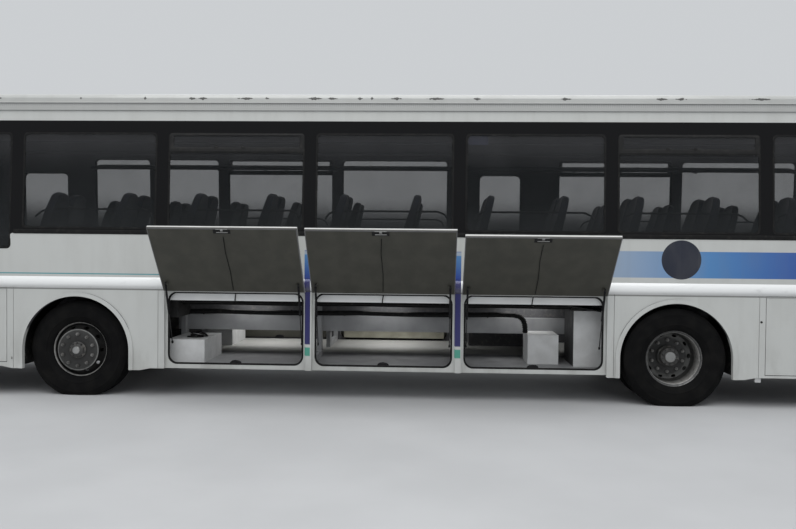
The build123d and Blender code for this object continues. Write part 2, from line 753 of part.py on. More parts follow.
def engine():
    """The engine and gearbox as one plain block."""
    return block(rear_axle_x + 1325, side_rear - 180, -rail_outer + rail_w, rail_outer - rail_w, 420, 1060)


def dashboard():
    """The dashboard under the windscreen with its driver's binnacle."""
    x, z = side_front, belt - 432
    face = area((x - 250, aisle_z), (x - 50, aisle_z), (x + 70, z - 110), (x + 20, z),
                (x - 230, z), (x - 370, z - 110))
    board = side_prism(face, -900, 500)
    hood = side_prism(area((x + 20, z - 1), (x - 20, z + 80), (x - 150, z + 80), (x - 190, z - 1)), -900, -330)
    column = Pos(0, 0, -shaft_l - door_seal - 220) * Cylinder(40, 440)
    return board + hood + Pos(*steering_place) * Rot(0, steering_tilt, 0) * column


def steering_wheel():
    """The steering wheel and its shaft about Z, the rim's middle at the origin."""
    ring = revolve(Plane.XZ * (Pos(steering_r, 0) * Rectangle(24, 24)), Axis.Z, 360)
    spokes = block(-steering_r, steering_r, -18, 18, -10, 6)
    return ring + spokes + Pos(0, 0, -shaft_l / 2) * Cylinder(45, shaft_l)


def tanks():
    """The fuel tank on the left rail and two air tanks between the rails."""
    x0, x1 = front_axle_x - 1955, front_axle_x - 1195
    box = side_prism(rounded(x0, x1, 400, 757, 60), -rail_outer - 600, -rail_outer - 40)
    strap = block(x0 + 120, x0 + 180, -rail_outer - 40, -rail_outer, rail_z0 + 20, 740)
    strap += block(x1 - 180, x1 - 120, -rail_outer - 40, -rail_outer, rail_z0 + 20, 740)
    air = []
    for x in (front_axle_x - 1725, front_axle_x - 725):
        pair = block(x - 30, x + 30, -rail_outer, rail_outer, rail_z0 - 12, rail_z0)
        for y in (-180.0, 180.0):
            pair += Pos(x, y, rail_z0 - 115) * Rot(0, 90, 0) * Cylinder(115, 600)
        air.append(pair)
    return [box + strap] + air


def driver_seat():
    """The driver's seat on its pedestal."""
    x, y = steering_place[0] + 240, steering_place[1]
    pan, back = double_seat(x, y - 260, y + 260, aisle_z + 30)
    return [pan + block(x + 20, x + 360, y - 150, y + 150, aisle_z, aisle_z + 31), back]


def mirror_head():
    """A mirror on its arm at the left front corner."""
    x, y, z = nose_x - 15, -half_width - 80, glass_top + 6
    foot = side_front - 130
    head = Pos(x, y, z - 560) * extrude(RectangleRounded(110, 230, 40), amount=420)
    arm = block(x - 15, x + 15, y - 15, y + 15, z - 150, z + 10) + block(x - 15, foot, y - 15, y + 15, z, z + 30)
    arm += block(foot - 30, foot, y - 15, y + 280, z, z + 30)
    return head + arm


def strut_geometry(angle):
    """Where a door's ball lies with the door shut, and with it swung by angle, as Y and Z on the left."""
    shut = (-hinge_y + door_ball[0], hinge_z + door_ball[1])
    a = radians(-angle)
    y = -hinge_y + door_ball[0] * cos(a) - door_ball[1] * sin(a)
    z = hinge_z + door_ball[0] * sin(a) + door_ball[1] * cos(a)
    return shut, (y, z)


def strut_pair(centre_x, angle):
    """Barrels and rods of one left door, at its rest angle. Returns (barrels, rods)."""
    _, (uy, uz) = strut_geometry(angle)
    ly, lz = frame_ball
    length = sqrt((uy - ly) ** 2 + (uz - lz) ** 2)
    along = Plane(origin=(0, uy, uz), x_dir=(1, 0, 0), z_dir=(0, ly - uy, lz - uz))
    up = (Align.CENTER, Align.CENTER, Align.MIN)
    bore = ball_pin_r + 0.3
    barrels, rods = [], []
    for side in (-1, 1):
        x = centre_x + side * strut_side
        eye = along * (Pos(x, 0, -eye_r) * Box(eye_l, 2 * eye_r, 2 * eye_r, align=up))
        tube = along * (Pos(x, 0, eye_r) * Cylinder(barrel_r, barrel_l - eye_r, align=up))
        tube -= along * (Pos(x, 0, rod_stop) * Cylinder(rod_r + 0.5, barrel_l, align=up))
        barrels.append(eye + tube - Pos(x, uy, uz) * Rot(0, 90, 0) * Cylinder(bore, 2 * eye_l))
        rod = along * (Pos(x, 0, barrel_l - rod_hold) * Cylinder(rod_r, length - barrel_l + rod_hold - 9, align=up))
        rods.append(rod + along * (Pos(x, 0, length - 9) * Box(eye_l, 18, 18, align=up)))
    return barrels, rods


def strut_brackets_door(centre_x):
    """Ball brackets on a shut left door."""
    (sy, sz), _ = strut_geometry(0)
    out = []
    for side in (-1, 1):
        x = centre_x + side * strut_side
        pin = Pos(x - side * 6, sy, sz) * Rot(0, 90, 0) * Cylinder(ball_pin_r, 26)
        inner = x - side * 16
        lug = block(inner - 3, inner + 3, -half_width + door_t, sy + 8, sz - 12, sz + 12)
        out.append(pin + lug)
    return out


def strut_brackets_frame(centre_x):
    """Ball studs on the locker frame of the left side."""
    ly, lz = frame_ball
    out = []
    for side in (-1, 1):
        edge = centre_x + side * opening_w / 2
        face = centre_x + side * (strut_side + 6.5)
        x0, x1 = sorted((face, edge + side * 20))
        out.append(block(x0, x1, ly - 8, ly + 8, lz - 8, lz + 8))
        x0, x1 = sorted((edge + side * 5, edge + side * 30))
        out.append(block(x0, x1, -frame_y - 1, ly + 8, lz - 20, lz + 20))
    return out


def build_lockers():
    """The skirts, the side doors and flaps, and the struts of the open doors."""
    left = skirt(locker_centres, LEFT_FLAPS)
    for x in locker_centres:
        for bracket in strut_brackets_frame(x):
            left += bracket
    right = other_side(skirt(locker_centres[:2], RIGHT_FLAPS))
    for span in (FRONT_DOOR, MIDDLE_DOOR):
        right -= door_cut(span)
    pieces["left_skirt"] = left
    pieces["right_skirt"] = right
    for number, (x, angle) in enumerate(zip(locker_centres, door_open), 1):
        panel = hung_door(x - door_w / 2, x + door_w / 2, door_h)
        if number < 3:
            pieces[f"locker_door_right_{number}"] = other_side(panel)
        for bracket in strut_brackets_door(x):
            panel += bracket
        pieces[f"locker_door_left_{number}"] = swung(panel, angle)
        barrels, rods = strut_pair(x, angle)
        pieces[f"strut_barrels_left_{number}"] = barrels
        pieces[f"strut_rods_left_{number}"] = rods
    for name, (x0, x1, z0) in zip(("front_flap_left", "rear_flap_left"), LEFT_FLAPS):
        pieces[name] = hung_door(x0, x1, hinge_z - z0)
    pieces["rear_flap_right"] = other_side(pieces["rear_flap_left"])


def build_wheels():
    """Wheels, tyres and knuckles on both sides."""
    for end, x, centre in (("front", front_axle_x, front_track_half), ("rear", rear_axle_x, rear_outer_half)):
        place = Pos(x, centre, axle_z)
        if end == "front":
            wheel, rings = front_rim(), [tyre(0, shoulder)]
        else:
            wheel, rings = rear_rim(), [tyre(0, shoulder), tyre(-twin_pitch, shoulder)]
        pieces[f"rim_{end}_right"] = place * wheel
        pieces[f"rim_{end}_left"] = other_side(place * wheel)
        pieces[f"tyre_{end}_right"] = [place * ring for ring in rings]
        pieces[f"tyre_{end}_left"] = [other_side(place * ring) for ring in rings]
    pieces["knuckle_left"] = Pos(front_axle_x, -kingpin_y, axle_z) * knuckle()
    pieces["knuckle_right"] = other_side(pieces["knuckle_left"])


def build():
    """Every piece by its node name."""
    body_shell()
    build_lockers()
    build_wheels()
    rail = rub_rail(side_front, side_rear)
    right_rail = other_side(rail)
    for x0, x1 in (FRONT_DOOR, MIDDLE_DOOR):
        right_rail -= block(x0, x1, 0, 2 * half_width, rail_bottom - 100, rail_top + 100)
    housings = [wheel_housing(front_axle_x), wheel_housing(rear_axle_x)]
    pieces["roof"] = roof()
    pieces["rub_rails"] = [rail, right_rail]
    pieces["underframe"] = underframe()
    pieces["saloon_floor"] = saloon_floor()
    pieces["stairs"] = stairs()
    pieces["luggage_bay"] = luggage_bay()
    pieces["wheel_housings"] = housings + [other_side(housing) for housing in housings]
    pieces["axles"] = axles()
    pieces["air_springs"] = air_springs()
    pieces["seats"] = seats() + driver_seat()
    pieces["parcel_racks"] = both_sides(parcel_rack())
    pieces["engine"] = engine()
    pieces["tanks"] = tanks()
    pieces["mirrors"] = both_sides(mirror_head() - body_form(-pane_gap))
    pieces["dashboard"] = dashboard()
    pieces["steering_wheel"] = Pos(*steering_place) * Rot(0, steering_tilt, 0) * steering_wheel()


def export():
    """One STEP file for each node."""
    os.makedirs("parts", exist_ok=True)
    for name, shape in pieces.items():
        solids = []
        for item in shape if isinstance(shape, list) else [shape]:
            solids += list(item.solids())
        body = solids[0] if len(solids) == 1 else Compound(children=solids)
        export_step(body, f"parts/{name}.step")


build()
export()
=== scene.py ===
"""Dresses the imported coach: paint, glazing, lockers, wheels, saloon, lamps and underside.

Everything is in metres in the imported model's frame: +X runs rearwards, the side with the open lockers
faces -Y, +Z is up and the ground is Z = 0.
"""
import logging
import math
from dataclasses import dataclass, field
from enum import Enum
from typing import Any, Callable, Dict, Iterable, List, Optional, Sequence, Tuple

import bmesh
import bpy
from mathutils import Matrix, Vector


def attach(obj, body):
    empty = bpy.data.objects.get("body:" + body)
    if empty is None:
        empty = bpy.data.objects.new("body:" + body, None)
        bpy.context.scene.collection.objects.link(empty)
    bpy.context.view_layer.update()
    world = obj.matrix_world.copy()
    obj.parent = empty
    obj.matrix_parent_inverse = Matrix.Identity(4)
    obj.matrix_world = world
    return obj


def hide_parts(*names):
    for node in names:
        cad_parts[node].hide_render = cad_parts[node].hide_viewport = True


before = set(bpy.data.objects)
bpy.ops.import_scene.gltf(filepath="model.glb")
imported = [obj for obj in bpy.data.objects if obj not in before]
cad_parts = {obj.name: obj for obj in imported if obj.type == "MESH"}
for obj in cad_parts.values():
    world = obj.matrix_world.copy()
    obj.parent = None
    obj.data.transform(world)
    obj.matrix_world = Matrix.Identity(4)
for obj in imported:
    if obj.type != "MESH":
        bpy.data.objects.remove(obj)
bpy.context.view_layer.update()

LOG = logging.getLogger("coach")
Pair = Tuple[float, float]
Triple = Tuple[float, float, float]
Points = Sequence[Sequence[float]]
ROOT = "root"
ORIGIN = (0.0, 0.0, 0.0)

# Main levels and lines of the body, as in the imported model
HALF_WIDTH = 1.250
BELT = 1.722
BAND_TOP = 2.913
BAND_LEAN = 0.055
GLASS_TOP = 2.784
GLASS_LOW = 1.775
PILLARS = [-3.766 + 1.555 * step for step in range(7)]
PILLAR_HALF = 0.064
LOCKERS = [-1.4335, 0.1215, 1.6765]
DOOR_ANGLES = [141.8, 140.9, 135.7]
HINGE = (0.0, -1.247, 1.133)
AXLE_Z = 0.487
MIDDLE = (0.0, 0.0, 1.9)
WHITE = (0.56, 0.57, 0.55)

# The finished materials by name, filled as the finishes are built
MATERIALS: Dict[str, bpy.types.Material] = {}


class Side(Enum):
    """The two sides of the coach, by the sign of Y."""

    LEFT = -1
    RIGHT = 1


class End(Enum):
    """The two ends of the coach, by the word in their pieces' names."""

    FRONT = "front"
    REAR = "rear"


class Way(Enum):
    """The ways that a face can look."""

    FORWARD = (-1, 0, 0)
    REARWARD = (1, 0, 0)
    LEFT = (0, -1, 0)
    RIGHT = (0, 1, 0)


class Axis(Enum):
    """The axes that a profile can be spun about."""

    X = (1, 0, 0)
    Y = (0, 1, 0)
    Z = (0, 0, 1)

    def point(self, radius: float, height: float) -> Vector:
        """The point at a radius and a height of a profile for this axis."""
        if self is Axis.X:
            return Vector((height, radius, 0.0))
        return Vector((radius, height, 0.0) if self is Axis.Y else (radius, 0.0, height))


AXLES = {End.FRONT: -3.125, End.REAR: 3.125}


def skin_y(z: float) -> float:
    """Half the body's width at a height."""
    return HALF_WIDTH - BAND_LEAN * max(0.0, min(1.0, (z - BELT) / (BAND_TOP - BELT)))


class Value:
    """A number in a shader graph that Python arithmetic turns into Math nodes."""

    def __init__(self, graph: "Graph", socket: bpy.types.NodeSocket) -> None:
        """Wraps a socket of the graph."""
        self.graph = graph
        self.socket = socket

    def __add__(self, other: Any) -> "Value":
        """Sum."""
        return self.graph.math("ADD", self, other)

    __radd__ = __add__

    def __sub__(self, other: Any) -> "Value":
        """Difference."""
        return self.graph.math("SUBTRACT", self, other)

    def __rsub__(self, other: Any) -> "Value":
        """Difference from a number."""
        return self.graph.math("SUBTRACT", other, self)

    def __mul__(self, other: Any) -> "Value":
        """Product."""
        return self.graph.math("MULTIPLY", self, other)

    __rmul__ = __mul__

    def __truediv__(self, other: Any) -> "Value":
        """Quotient."""
        return self.graph.math("DIVIDE", self, other)

    def __or__(self, other: Any) -> "Value":
        """Either mask."""
        return self.graph.math("MAXIMUM", self, other)

    def __abs__(self) -> "Value":
        """Size without sign."""
        return self.graph.math("ABSOLUTE", self)

    def fraction(self) -> "Value":
        """Part after the decimal point."""
        return self.graph.math("FRACT", self)

    def rise(self, low: float, high: float) -> "Value":
        """A ramp from 0 at low to 1 at high, flat outside them."""
        settings, sockets = {"interpolation_type": "SMOOTHSTEP"}, {0: self, 1: low, 2: high}
        return Value(self.graph, self.graph.node("ShaderNodeMapRange", settings, sockets).outputs[0])

    def above(self, level: float, soft: float = 0.001) -> "Value":
        """Mask of where the value lies above a level, with a soft edge."""
        return self.rise(level - soft, level + soft)

    def within(self, low: float, high: float, soft: float = 0.001) -> "Value":
        """Mask of where the value lies between low and high, with soft edges."""
        return self.above(low, soft) * (1.0 - self.above(high, soft))


class Graph:
    """One material's node tree, built from Python expressions."""

    def __init__(self, name: str) -> None:
        """Starts a material with a Principled shader."""
        self.material = bpy.data.materials.new(name)
        self.material.use_nodes = True
        self.tree = self.material.node_tree
        self.tree.nodes.clear()
        self.shader = self.node("ShaderNodeBsdfPrincipled")
        self.node("ShaderNodeOutputMaterial", None, {0: self.shader.outputs[0]})
        coordinates = self.node("ShaderNodeTexCoord").outputs
        self.place, self.normal = coordinates["Object"], coordinates["Normal"]
        split = self.node("ShaderNodeSeparateXYZ", None, {0: self.place})
        self.x, self.y, self.z = (Value(self, socket) for socket in split.outputs)

    def feed(self, target: bpy.types.NodeSocket, value: Any) -> None:
        """Gives an input a Value, a socket, a number, a vector or a colour."""
        if isinstance(value, Value):
            value = value.socket
        if isinstance(value, bpy.types.NodeSocket):
            self.tree.links.new(value, target)
        else:
            target.default_value = (*value, 1.0) if target.type == "RGBA" else value

    def node(self, kind: str, settings: Optional[Dict[str, Any]] = None,
             inputs: Optional[Dict[Any, Any]] = None) -> bpy.types.Node:
        """Adds a node.

        Args:
            kind: the node's type name.
            settings: its properties, set before its inputs.
            inputs: values, Values or sockets by input name or number.

        Returns:
            The new node.
        """
        node = self.tree.nodes.new(kind)
        for key, value in (settings or {}).items():
            setattr(node, key, value)
        for key, value in (inputs or {}).items():
            self.feed(node.inputs[key], value)
        return node

    def math(self, operation: str, *terms: Any) -> Value:
        """Adds a Math node on the terms."""
        node = self.node("ShaderNodeMath", {"operation": operation}, dict(enumerate(terms)))
        return Value(self, node.outputs[0])

    def noise(self, scale: float, detail: float = 3.0, stretch: Triple = (1.0, 1.0, 1.0)) -> Value:
        """Noise of a number of grains to the metre, stretched along the axes."""
        scaled = self.node("ShaderNodeMapping", None, {0: self.place, 3: stretch})
        sockets = {"Vector": scaled.outputs[0], "Scale": scale, "Detail": detail}
        return Value(self, self.node("ShaderNodeTexNoise", None, sockets).outputs[0])

    def dot(self, first: Any, second: Any) -> Value:
        """The dot product of two vectors."""
        node = self.node("ShaderNodeVectorMath", {"operation": "DOT_PRODUCT"}, {0: first, 1: second})
        return Value(self, node.outputs["Value"])

    def facing(self, way: Triple) -> Value:
        """How far the surface faces a way, from -1 to 1."""
        return self.dot(self.normal, way)

    def inner(self) -> Value:
        """Mask of surfaces that face the middle of the coach."""
        away = self.node("ShaderNodeVectorMath", {"operation": "SUBTRACT"}, {0: self.place, 1: MIDDLE})
        outward = self.dot(self.normal, away.outputs[0])
        return 1.0 - outward.rise(-0.05, 0.05)

    def radius(self, x: float, z: float) -> Value:
        """Distance from a place on the side, in X and Z."""
        across, up = self.x - x, self.z - z
        return self.math("SQRT", across * across + up * up)

    def mix(self, mask: Any, under: Any, over: Any) -> bpy.types.NodeSocket:
        """Lays one colour over another where the mask is 1."""
        return self.node("ShaderNodeMix", {"data_type": "RGBA"}, {0: mask, 6: under, 7: over}).outputs[2]

    def ramp(self, value: Value, stops: Sequence[Tuple[float, Triple]]) -> bpy.types.NodeSocket:
        """Colours a value by stops."""
        node = self.node("ShaderNodeValToRGB", None, {0: value})
        elements = node.color_ramp.elements
        while len(elements) < len(stops):
            elements.new(0.5)
        for element, (position, colour) in zip(elements, stops):
            element.position = position
            element.color = (*colour, 1.0)
        return node.outputs[0]

    def bump(self, height: Value, distance: float, strength: float = 1.0) -> None:
        """Raises the surface by a height field."""
        sockets = {"Height": height, "Distance": distance, "Strength": strength}
        self.set(normal=self.node("ShaderNodeBump", None, sockets).outputs[0])

    def set(self, **sockets: Any) -> None:
        """Feeds the shader's inputs, named with underscores for spaces."""
        for key, value in sockets.items():
            name = key.replace("_", " ").title().replace("Ior", "IOR")
            self.feed(self.shader.inputs[name], value)


@dataclass(frozen=True)
class Paint:
    """A material under a name, whose shader its subclasses fill."""

    name: str

    def fill(self, graph: Graph) -> None:
        """Fills the shader."""

    def build(self) -> None:
        """Builds the material into the register."""
        graph = Graph(self.name)
        self.fill(graph)
        MATERIALS[self.name] = graph.material


@dataclass(frozen=True)
class Finish(Paint):
    """A plain finish: one colour, mottled, with a fine grain.

    Attributes:
        colour: base colour.
        roughness: middle roughness.
        metallic: 1 for bare metal.
        grain: grains to the metre of the bump.
        relief: depth of the grain in metres.
        mottle: how far the colour strays, from 0 to 1.
        soil: how much dust lies on it.
        coat: clear coat weight.
        shine: strength of the plain reflection.
    """

    colour: Triple
    roughness: float = 0.5
    metallic: float = 0.0
    grain: float = 300.0
    relief: float = 0.0003
    mottle: float = 0.25
    soil: float = 0.15
    coat: float = 0.0
    shine: float = 0.5

    def fill(self, graph: Graph) -> None:
        """Fills the shader."""
        patches = graph.noise(6.0, 5.0)
        fine = graph.noise(self.grain, 2.0)
        dark = tuple(channel * (1.0 - self.mottle) for channel in self.colour)
        colour = graph.mix(patches.rise(0.3, 0.7), dark, self.colour)
        dust = graph.noise(23.0, 6.0).rise(0.48, 0.75) * self.soil
        colour = graph.mix(dust, colour, (0.30, 0.28, 0.25))
        graph.set(base_color=colour, roughness=(patches - 0.5) * 0.25 + dust * 0.5 + self.roughness,
                  metallic=self.metallic, coat_weight=self.coat, specular_ior_level=self.shine)
        graph.bump(fine, self.relief)


@dataclass(frozen=True)
class BodyPaint(Paint):
    """White gloss paint with the window band, the waist stripe, the post stripes and road dirt."""

    name: str = "body_paint"
    white: Triple = WHITE
    black: Triple = (0.0045, 0.0045, 0.005)
    indigo: Triple = (0.022, 0.022, 0.125)
    blue: Triple = (0.085, 0.24, 0.50)
    deep_blue: Triple = (0.030, 0.072, 0.33)
    pale_blue: Triple = (0.36, 0.43, 0.52)
    teal: Triple = (0.07, 0.33, 0.25)
    trim: Triple = (0.075, 0.075, 0.078)
    waist_stripe: Pair = (1.322, 1.592)
    waist_start: float = 2.32
    thin_line: Pair = (1.293, 1.305)
    thin_end: float = -2.215
    rail_shadow: Pair = (1.131, 1.1465)
    posts: Pair = (-0.671, 0.893)
    post_half: float = 0.031
    roundel: Triple = (3.161, 1.507, 0.200)
    sill_drop: float = 0.17

    def post_bands(self, graph: Graph) -> bpy.types.NodeSocket:
        """The colours of the post stripes from the skirt to the waist."""
        return graph.ramp((graph.z - 0.3) / 1.422,
                          [(0.0, self.white), (0.116, self.white), (0.118, self.teal), (0.178, self.teal),
                           (0.182, self.white), (0.20, self.white), (0.204, self.indigo), (0.66, self.indigo),
                           (0.70, self.deep_blue), (0.86, self.blue), (0.864, self.pale_blue),
                           (0.886, self.pale_blue), (0.889, self.deep_blue), (0.895, self.white),
                           (1.0, self.white)])

    def livery(self, graph: Graph) -> bpy.types.NodeSocket:
        """The coloured stripes over the white, by X and Z."""
        x, z = graph.x, graph.z
        side = abs(graph.facing((0.0, 1.0, 0.0))).rise(0.6, 0.8)
        stripe = x.above(self.waist_start, 0.01) * z.within(*self.waist_stripe, 0.002) * side
        fade = graph.ramp((x - 2.3) / 2.3, [(0.0, self.pale_blue), (0.5, self.blue), (1.0, self.deep_blue)])
        colour = graph.mix(stripe, self.white, fade)
        line = (1.0 - x.rise(self.thin_end, self.thin_end + 0.005)) * z.within(*self.thin_line) * side
        colour = graph.mix(line, colour, (0.12, 0.33, 0.36))
        middle_x, middle_z, radius = self.roundel
        disc = (1.0 - graph.radius(middle_x, middle_z).above(radius)) * side
        colour = graph.mix(disc, colour, (0.014, 0.018, 0.034))
        first, second = (1.0 - abs(x - post).above(self.post_half) for post in self.posts)
        colour = graph.mix((first | second) * side, colour, self.post_bands(graph))
        return graph.mix(z.within(*self.rail_shadow, 0.002) * side * 0.62, colour, (0.05, 0.05, 0.047))

    @staticmethod
    def dirt(graph: Graph, colour: Any) -> Tuple[bpy.types.NodeSocket, Value]:
        """Road film, thick near the ground and streaked, over a colour."""
        film = graph.noise(5.0, 6.0, (1.0, 1.0, 0.4)).rise(0.35, 0.75)
        low = 1.0 - graph.z.rise(0.3, 0.75)
        streaks = graph.noise(14.0, 4.0, (1.0, 1.0, 0.06)).rise(0.5, 0.8)
        amount = film * 0.10 + low * film * 0.32 + streaks * 0.07
        return graph.mix(amount, colour, (0.22, 0.21, 0.185)), amount

    def fill(self, graph: Graph) -> None:
        """Fills the shader."""
        x, z = graph.x, graph.z
        colour, film = self.dirt(graph, self.livery(graph))
        sill = BELT - (1.0 - x.rise(-3.96, -3.80)) * self.sill_drop
        band = (z - sill).above(0.0) * (1.0 - z.above(BAND_TOP))
        colour = graph.mix(band, colour, self.black)
        end_wall = abs(graph.facing((1.0, 0.0, 0.0))).rise(0.9, 0.95) * (1.0 - abs(x).rise(5.2, 5.3))
        inner = graph.inner() * (1.0 - end_wall)
        lining = graph.mix(graph.noise(60.0).rise(0.3, 0.7), self.trim, (0.10, 0.10, 0.105))
        colour = graph.mix(inner, colour, lining)
        graph.set(base_color=colour, roughness=film * 0.5 + inner * 0.35 + band * -0.12 + 0.29,
                  coat_weight=(1.0 - inner) * (1.0 - band) * 0.5, coat_roughness=0.08, specular_ior_level=0.17)
        graph.bump(graph.noise(40.0, 1.0), 0.00035, 0.5)


@dataclass(frozen=True)
class RailPaint(BodyPaint):
    """The rub rail's gloss white, carrying the post stripes, painted brighter than the body's white as a
    painted highlight and darker along its lower edge as painted shade.
    """

    name: str = "rail_paint"
    # Painted highlight: the rail's white is brighter than the body's.
    white: Triple = (0.93, 0.94, 0.93)

    def fill(self, graph: Graph) -> None:
        """Fills the shader."""
        scuffs = graph.noise(24.0, 6.0, (0.3, 1.0, 1.0)).rise(0.58, 0.78)
        # Painted shade towards the rail's lower edge; the scuffs are real wear.
        low = 1.0 - graph.z.rise(1.150, 1.200)
        colour = graph.mix(scuffs * 0.2 + low * 0.35, self.livery(graph), (0.20, 0.20, 0.19))
        graph.set(base_color=colour, roughness=scuffs * 0.2 + 0.22, coat_weight=0.6)
        graph.bump(graph.noise(30.0, 1.0), 0.0004, 0.5)


@dataclass(frozen=True)
class BayPaint(Paint):
    """Black chassis paint, light grey round the lockers, with a pale front beam."""

    name: str = "bay_paint"
    span: Pair = (-2.30, 2.53)
    black: Triple = (0.020, 0.020, 0.020)
    grey: Triple = (0.36, 0.365, 0.37)
    pale: Triple = (0.82, 0.83, 0.82)

    def fill(self, graph: Graph) -> None:
        """Fills the shader."""
        inside = graph.x.within(*self.span, 0.01) * graph.z.rise(0.335, 0.345)
        patches = graph.noise(5.0, 6.0).rise(0.3, 0.75)
        grey = graph.mix(patches * 0.4, self.grey, (0.20, 0.20, 0.205))
        colour = graph.mix(inside, self.black, grey)
        strip = inside * abs(graph.y).rise(1.10, 1.12) * graph.z.rise(1.020, 1.025)
        colour = graph.mix(strip, colour, graph.mix(patches * 0.15, self.pale, (0.40, 0.40, 0.39)))
        soil = graph.noise(17.0, 6.0).rise(0.5, 0.8)
        colour = graph.mix(soil * (1.0 - inside) * 0.4, colour, (0.16, 0.145, 0.125))
        graph.set(base_color=colour, roughness=patches * 0.15 + 0.52, specular_ior_level=0.3)
        graph.bump(graph.noise(260.0, 2.0), 0.0003)


@dataclass(frozen=True)
class LockerFloor(Paint):
    """The luggage floor, dark by the left doors and paler beyond, and the pale boxes on it, with painted shade
    on the rear box's ends.
    """

    name: str = "locker_floor"

    def fill(self, graph: Graph) -> None:
        """Fills the shader."""
        patches = graph.noise(7.0, 6.0).rise(0.3, 0.75)
        near = 1.0 - graph.y.rise(-0.14, -0.10)
        flat = graph.facing((0.0, 0.0, 1.0)).rise(0.9, 0.95) * (1.0 - graph.z.rise(0.38, 0.40))
        floor = graph.mix(near, (0.44, 0.44, 0.42),
                          graph.mix(patches, (0.25, 0.253, 0.258), (0.34, 0.343, 0.348)))
        box = graph.mix(patches * 0.5, (0.66, 0.665, 0.66), (0.46, 0.46, 0.45))
        # Painted shade: beyond the rear box's front, faces that look along the coach are near black.
        side = abs(graph.facing((1.0, 0.0, 0.0))).rise(0.9, 0.95) * graph.x.rise(2.10, 2.12)
        box = graph.mix(side, box, (0.045, 0.045, 0.046))
        graph.set(base_color=graph.mix(flat, box, floor), roughness=patches * 0.2 + 0.5)
        graph.bump(graph.noise(180.0, 2.0), 0.0004)


@dataclass(frozen=True)
class RoofPaint(BodyPaint):
    """The roof's white, with chips along the left cove, the ribbed gutter strip, grime, and painted shade
    under the gutter and on the cove.
    """

    name: str = "roof_paint"
    ribs_per_metre: float = 45.0
    cove_z: float = 3.149
    chips: Tuple[Pair, ...] = ((-4.005, 0.05), (-2.411, 0.02), (-1.912, 0.045), (-1.793, 0.05), (-1.334, 0.08),
                               (-1.121, 0.02), (-0.616, 0.09), (-0.438, 0.06), (-0.145, 0.035), (0.239, 0.06),
                               (0.643, 0.09), (1.066, 0.04), (1.972, 0.06), (2.953, 0.07), (3.151, 0.06),
                               (3.957, 0.10), (-0.021, 0.02), (-3.1, 0.012))

    def fill(self, graph: Graph) -> None:
        """Fills the shader."""
        x, z = graph.x, graph.z
        colour, film = self.dirt(graph, self.white)
        rough = graph.noise(38.0, 4.0)
        left = 1.0 - graph.y.rise(-1.0, -0.9)
        height = abs(z - self.cove_z) / 0.015
        marks: Optional[Value] = None
        for place, half in self.chips:
            spot = abs(x - place) / half + height
            marks = spot if marks is None else graph.math("MINIMUM", marks, spot)
        chipped = (1.0 - (marks + (rough - 0.5) * 2.2).rise(0.92, 0.99)) * left
        colour = graph.mix(chipped, colour, (0.035, 0.033, 0.030))
        channel = z.within(3.055, 3.1, 0.001)
        wave = (x * self.ribs_per_metre).fraction() - 0.5
        ribs = wave * wave
        colour = graph.mix(channel * (ribs * -2.2 + 0.75), colour, (0.42, 0.42, 0.41))
        # Painted shade: a darker band under the gutter and another on the cove.
        colour = graph.mix(z.within(3.018, 3.054, 0.002) * 0.35, colour, (0.20, 0.20, 0.195))
        colour = graph.mix(z.within(3.102, 3.19, 0.01) * 0.22, colour, (0.24, 0.24, 0.235))
        colour = graph.mix(graph.inner(), colour, (0.13, 0.13, 0.13))
        graph.set(base_color=colour, roughness=film * 0.5 + chipped * 0.3 + 0.30, coat_weight=0.3)
        graph.bump(rough * chipped * -1.0 + ribs * channel, 0.003)


@dataclass(frozen=True)
class DoorSkin(Paint):
    """A locker door: white outside, dull olive lining inside and bright bare edges."""

    inner_normal: Triple
    rim: float

    def fill(self, graph: Graph) -> None:
        """Fills the shader."""
        lined = graph.facing(self.inner_normal).rise(0.94, 0.96)
        outside = graph.facing(tuple(-part for part in self.inner_normal)).rise(0.94, 0.96)
        streak = graph.noise(7.0, 5.0).rise(0.3, 0.75)
        olive = graph.mix(streak, (0.044, 0.043, 0.033), (0.064, 0.062, 0.049))
        inwards = graph.dot(graph.place, self.inner_normal)
        scuffs = graph.noise(55.0, 6.0, (0.25, 1.0, 1.0)).rise(0.66, 0.76)
        olive = graph.mix(scuffs * 0.25, olive, (0.13, 0.125, 0.11))
        edge = graph.mix(streak, (0.56, 0.56, 0.54), (0.66, 0.66, 0.64))
        edge = graph.mix(inwards.rise(self.rim - 0.002, self.rim), edge, (0.055, 0.054, 0.046))
        colour = graph.mix(lined, edge, olive)
        white = graph.mix(streak * 0.15, WHITE, (0.30, 0.29, 0.26))
        colour = graph.mix(outside, colour, white)
        graph.set(base_color=colour, roughness=lined * 0.22 + streak * 0.12 + 0.28)
        graph.bump(graph.noise(90.0, 2.0), 0.0004, 0.6)


@dataclass(frozen=True)
class Glazing(Paint):
    """Tinted glass with a film of dust, and a painted reflection that pales it towards the top.

    Attributes:
        tint: colour of the glass.
        cover: how much it hides, from 0 to 1.
        shine: strength of the reflection.
        shade: how much more it hides at its bottom.
    """

    tint: Triple = (0.012, 0.014, 0.015)
    cover: float = 0.5
    shine: float = 0.25
    shade: float = 0.0

    def fill(self, graph: Graph) -> None:
        """Fills the shader."""
        smear = graph.noise(3.0, 5.0, (1.0, 1.0, 0.5)).rise(0.4, 0.8)
        # Painted reflection: paler towards the top of the pane.
        painted_reflection = graph.z.rise(2.35, 2.72) * 0.9
        low = 1.0 - graph.z.rise(1.80, 2.15)
        graph.set(base_color=graph.mix(smear * 0.10 + painted_reflection * 0.5, self.tint, (0.11, 0.11, 0.115)),
                  roughness=smear * 0.05 + 0.02, alpha=smear * 0.05 + low * self.shade + self.cover,
                  specular_ior_level=self.shine)


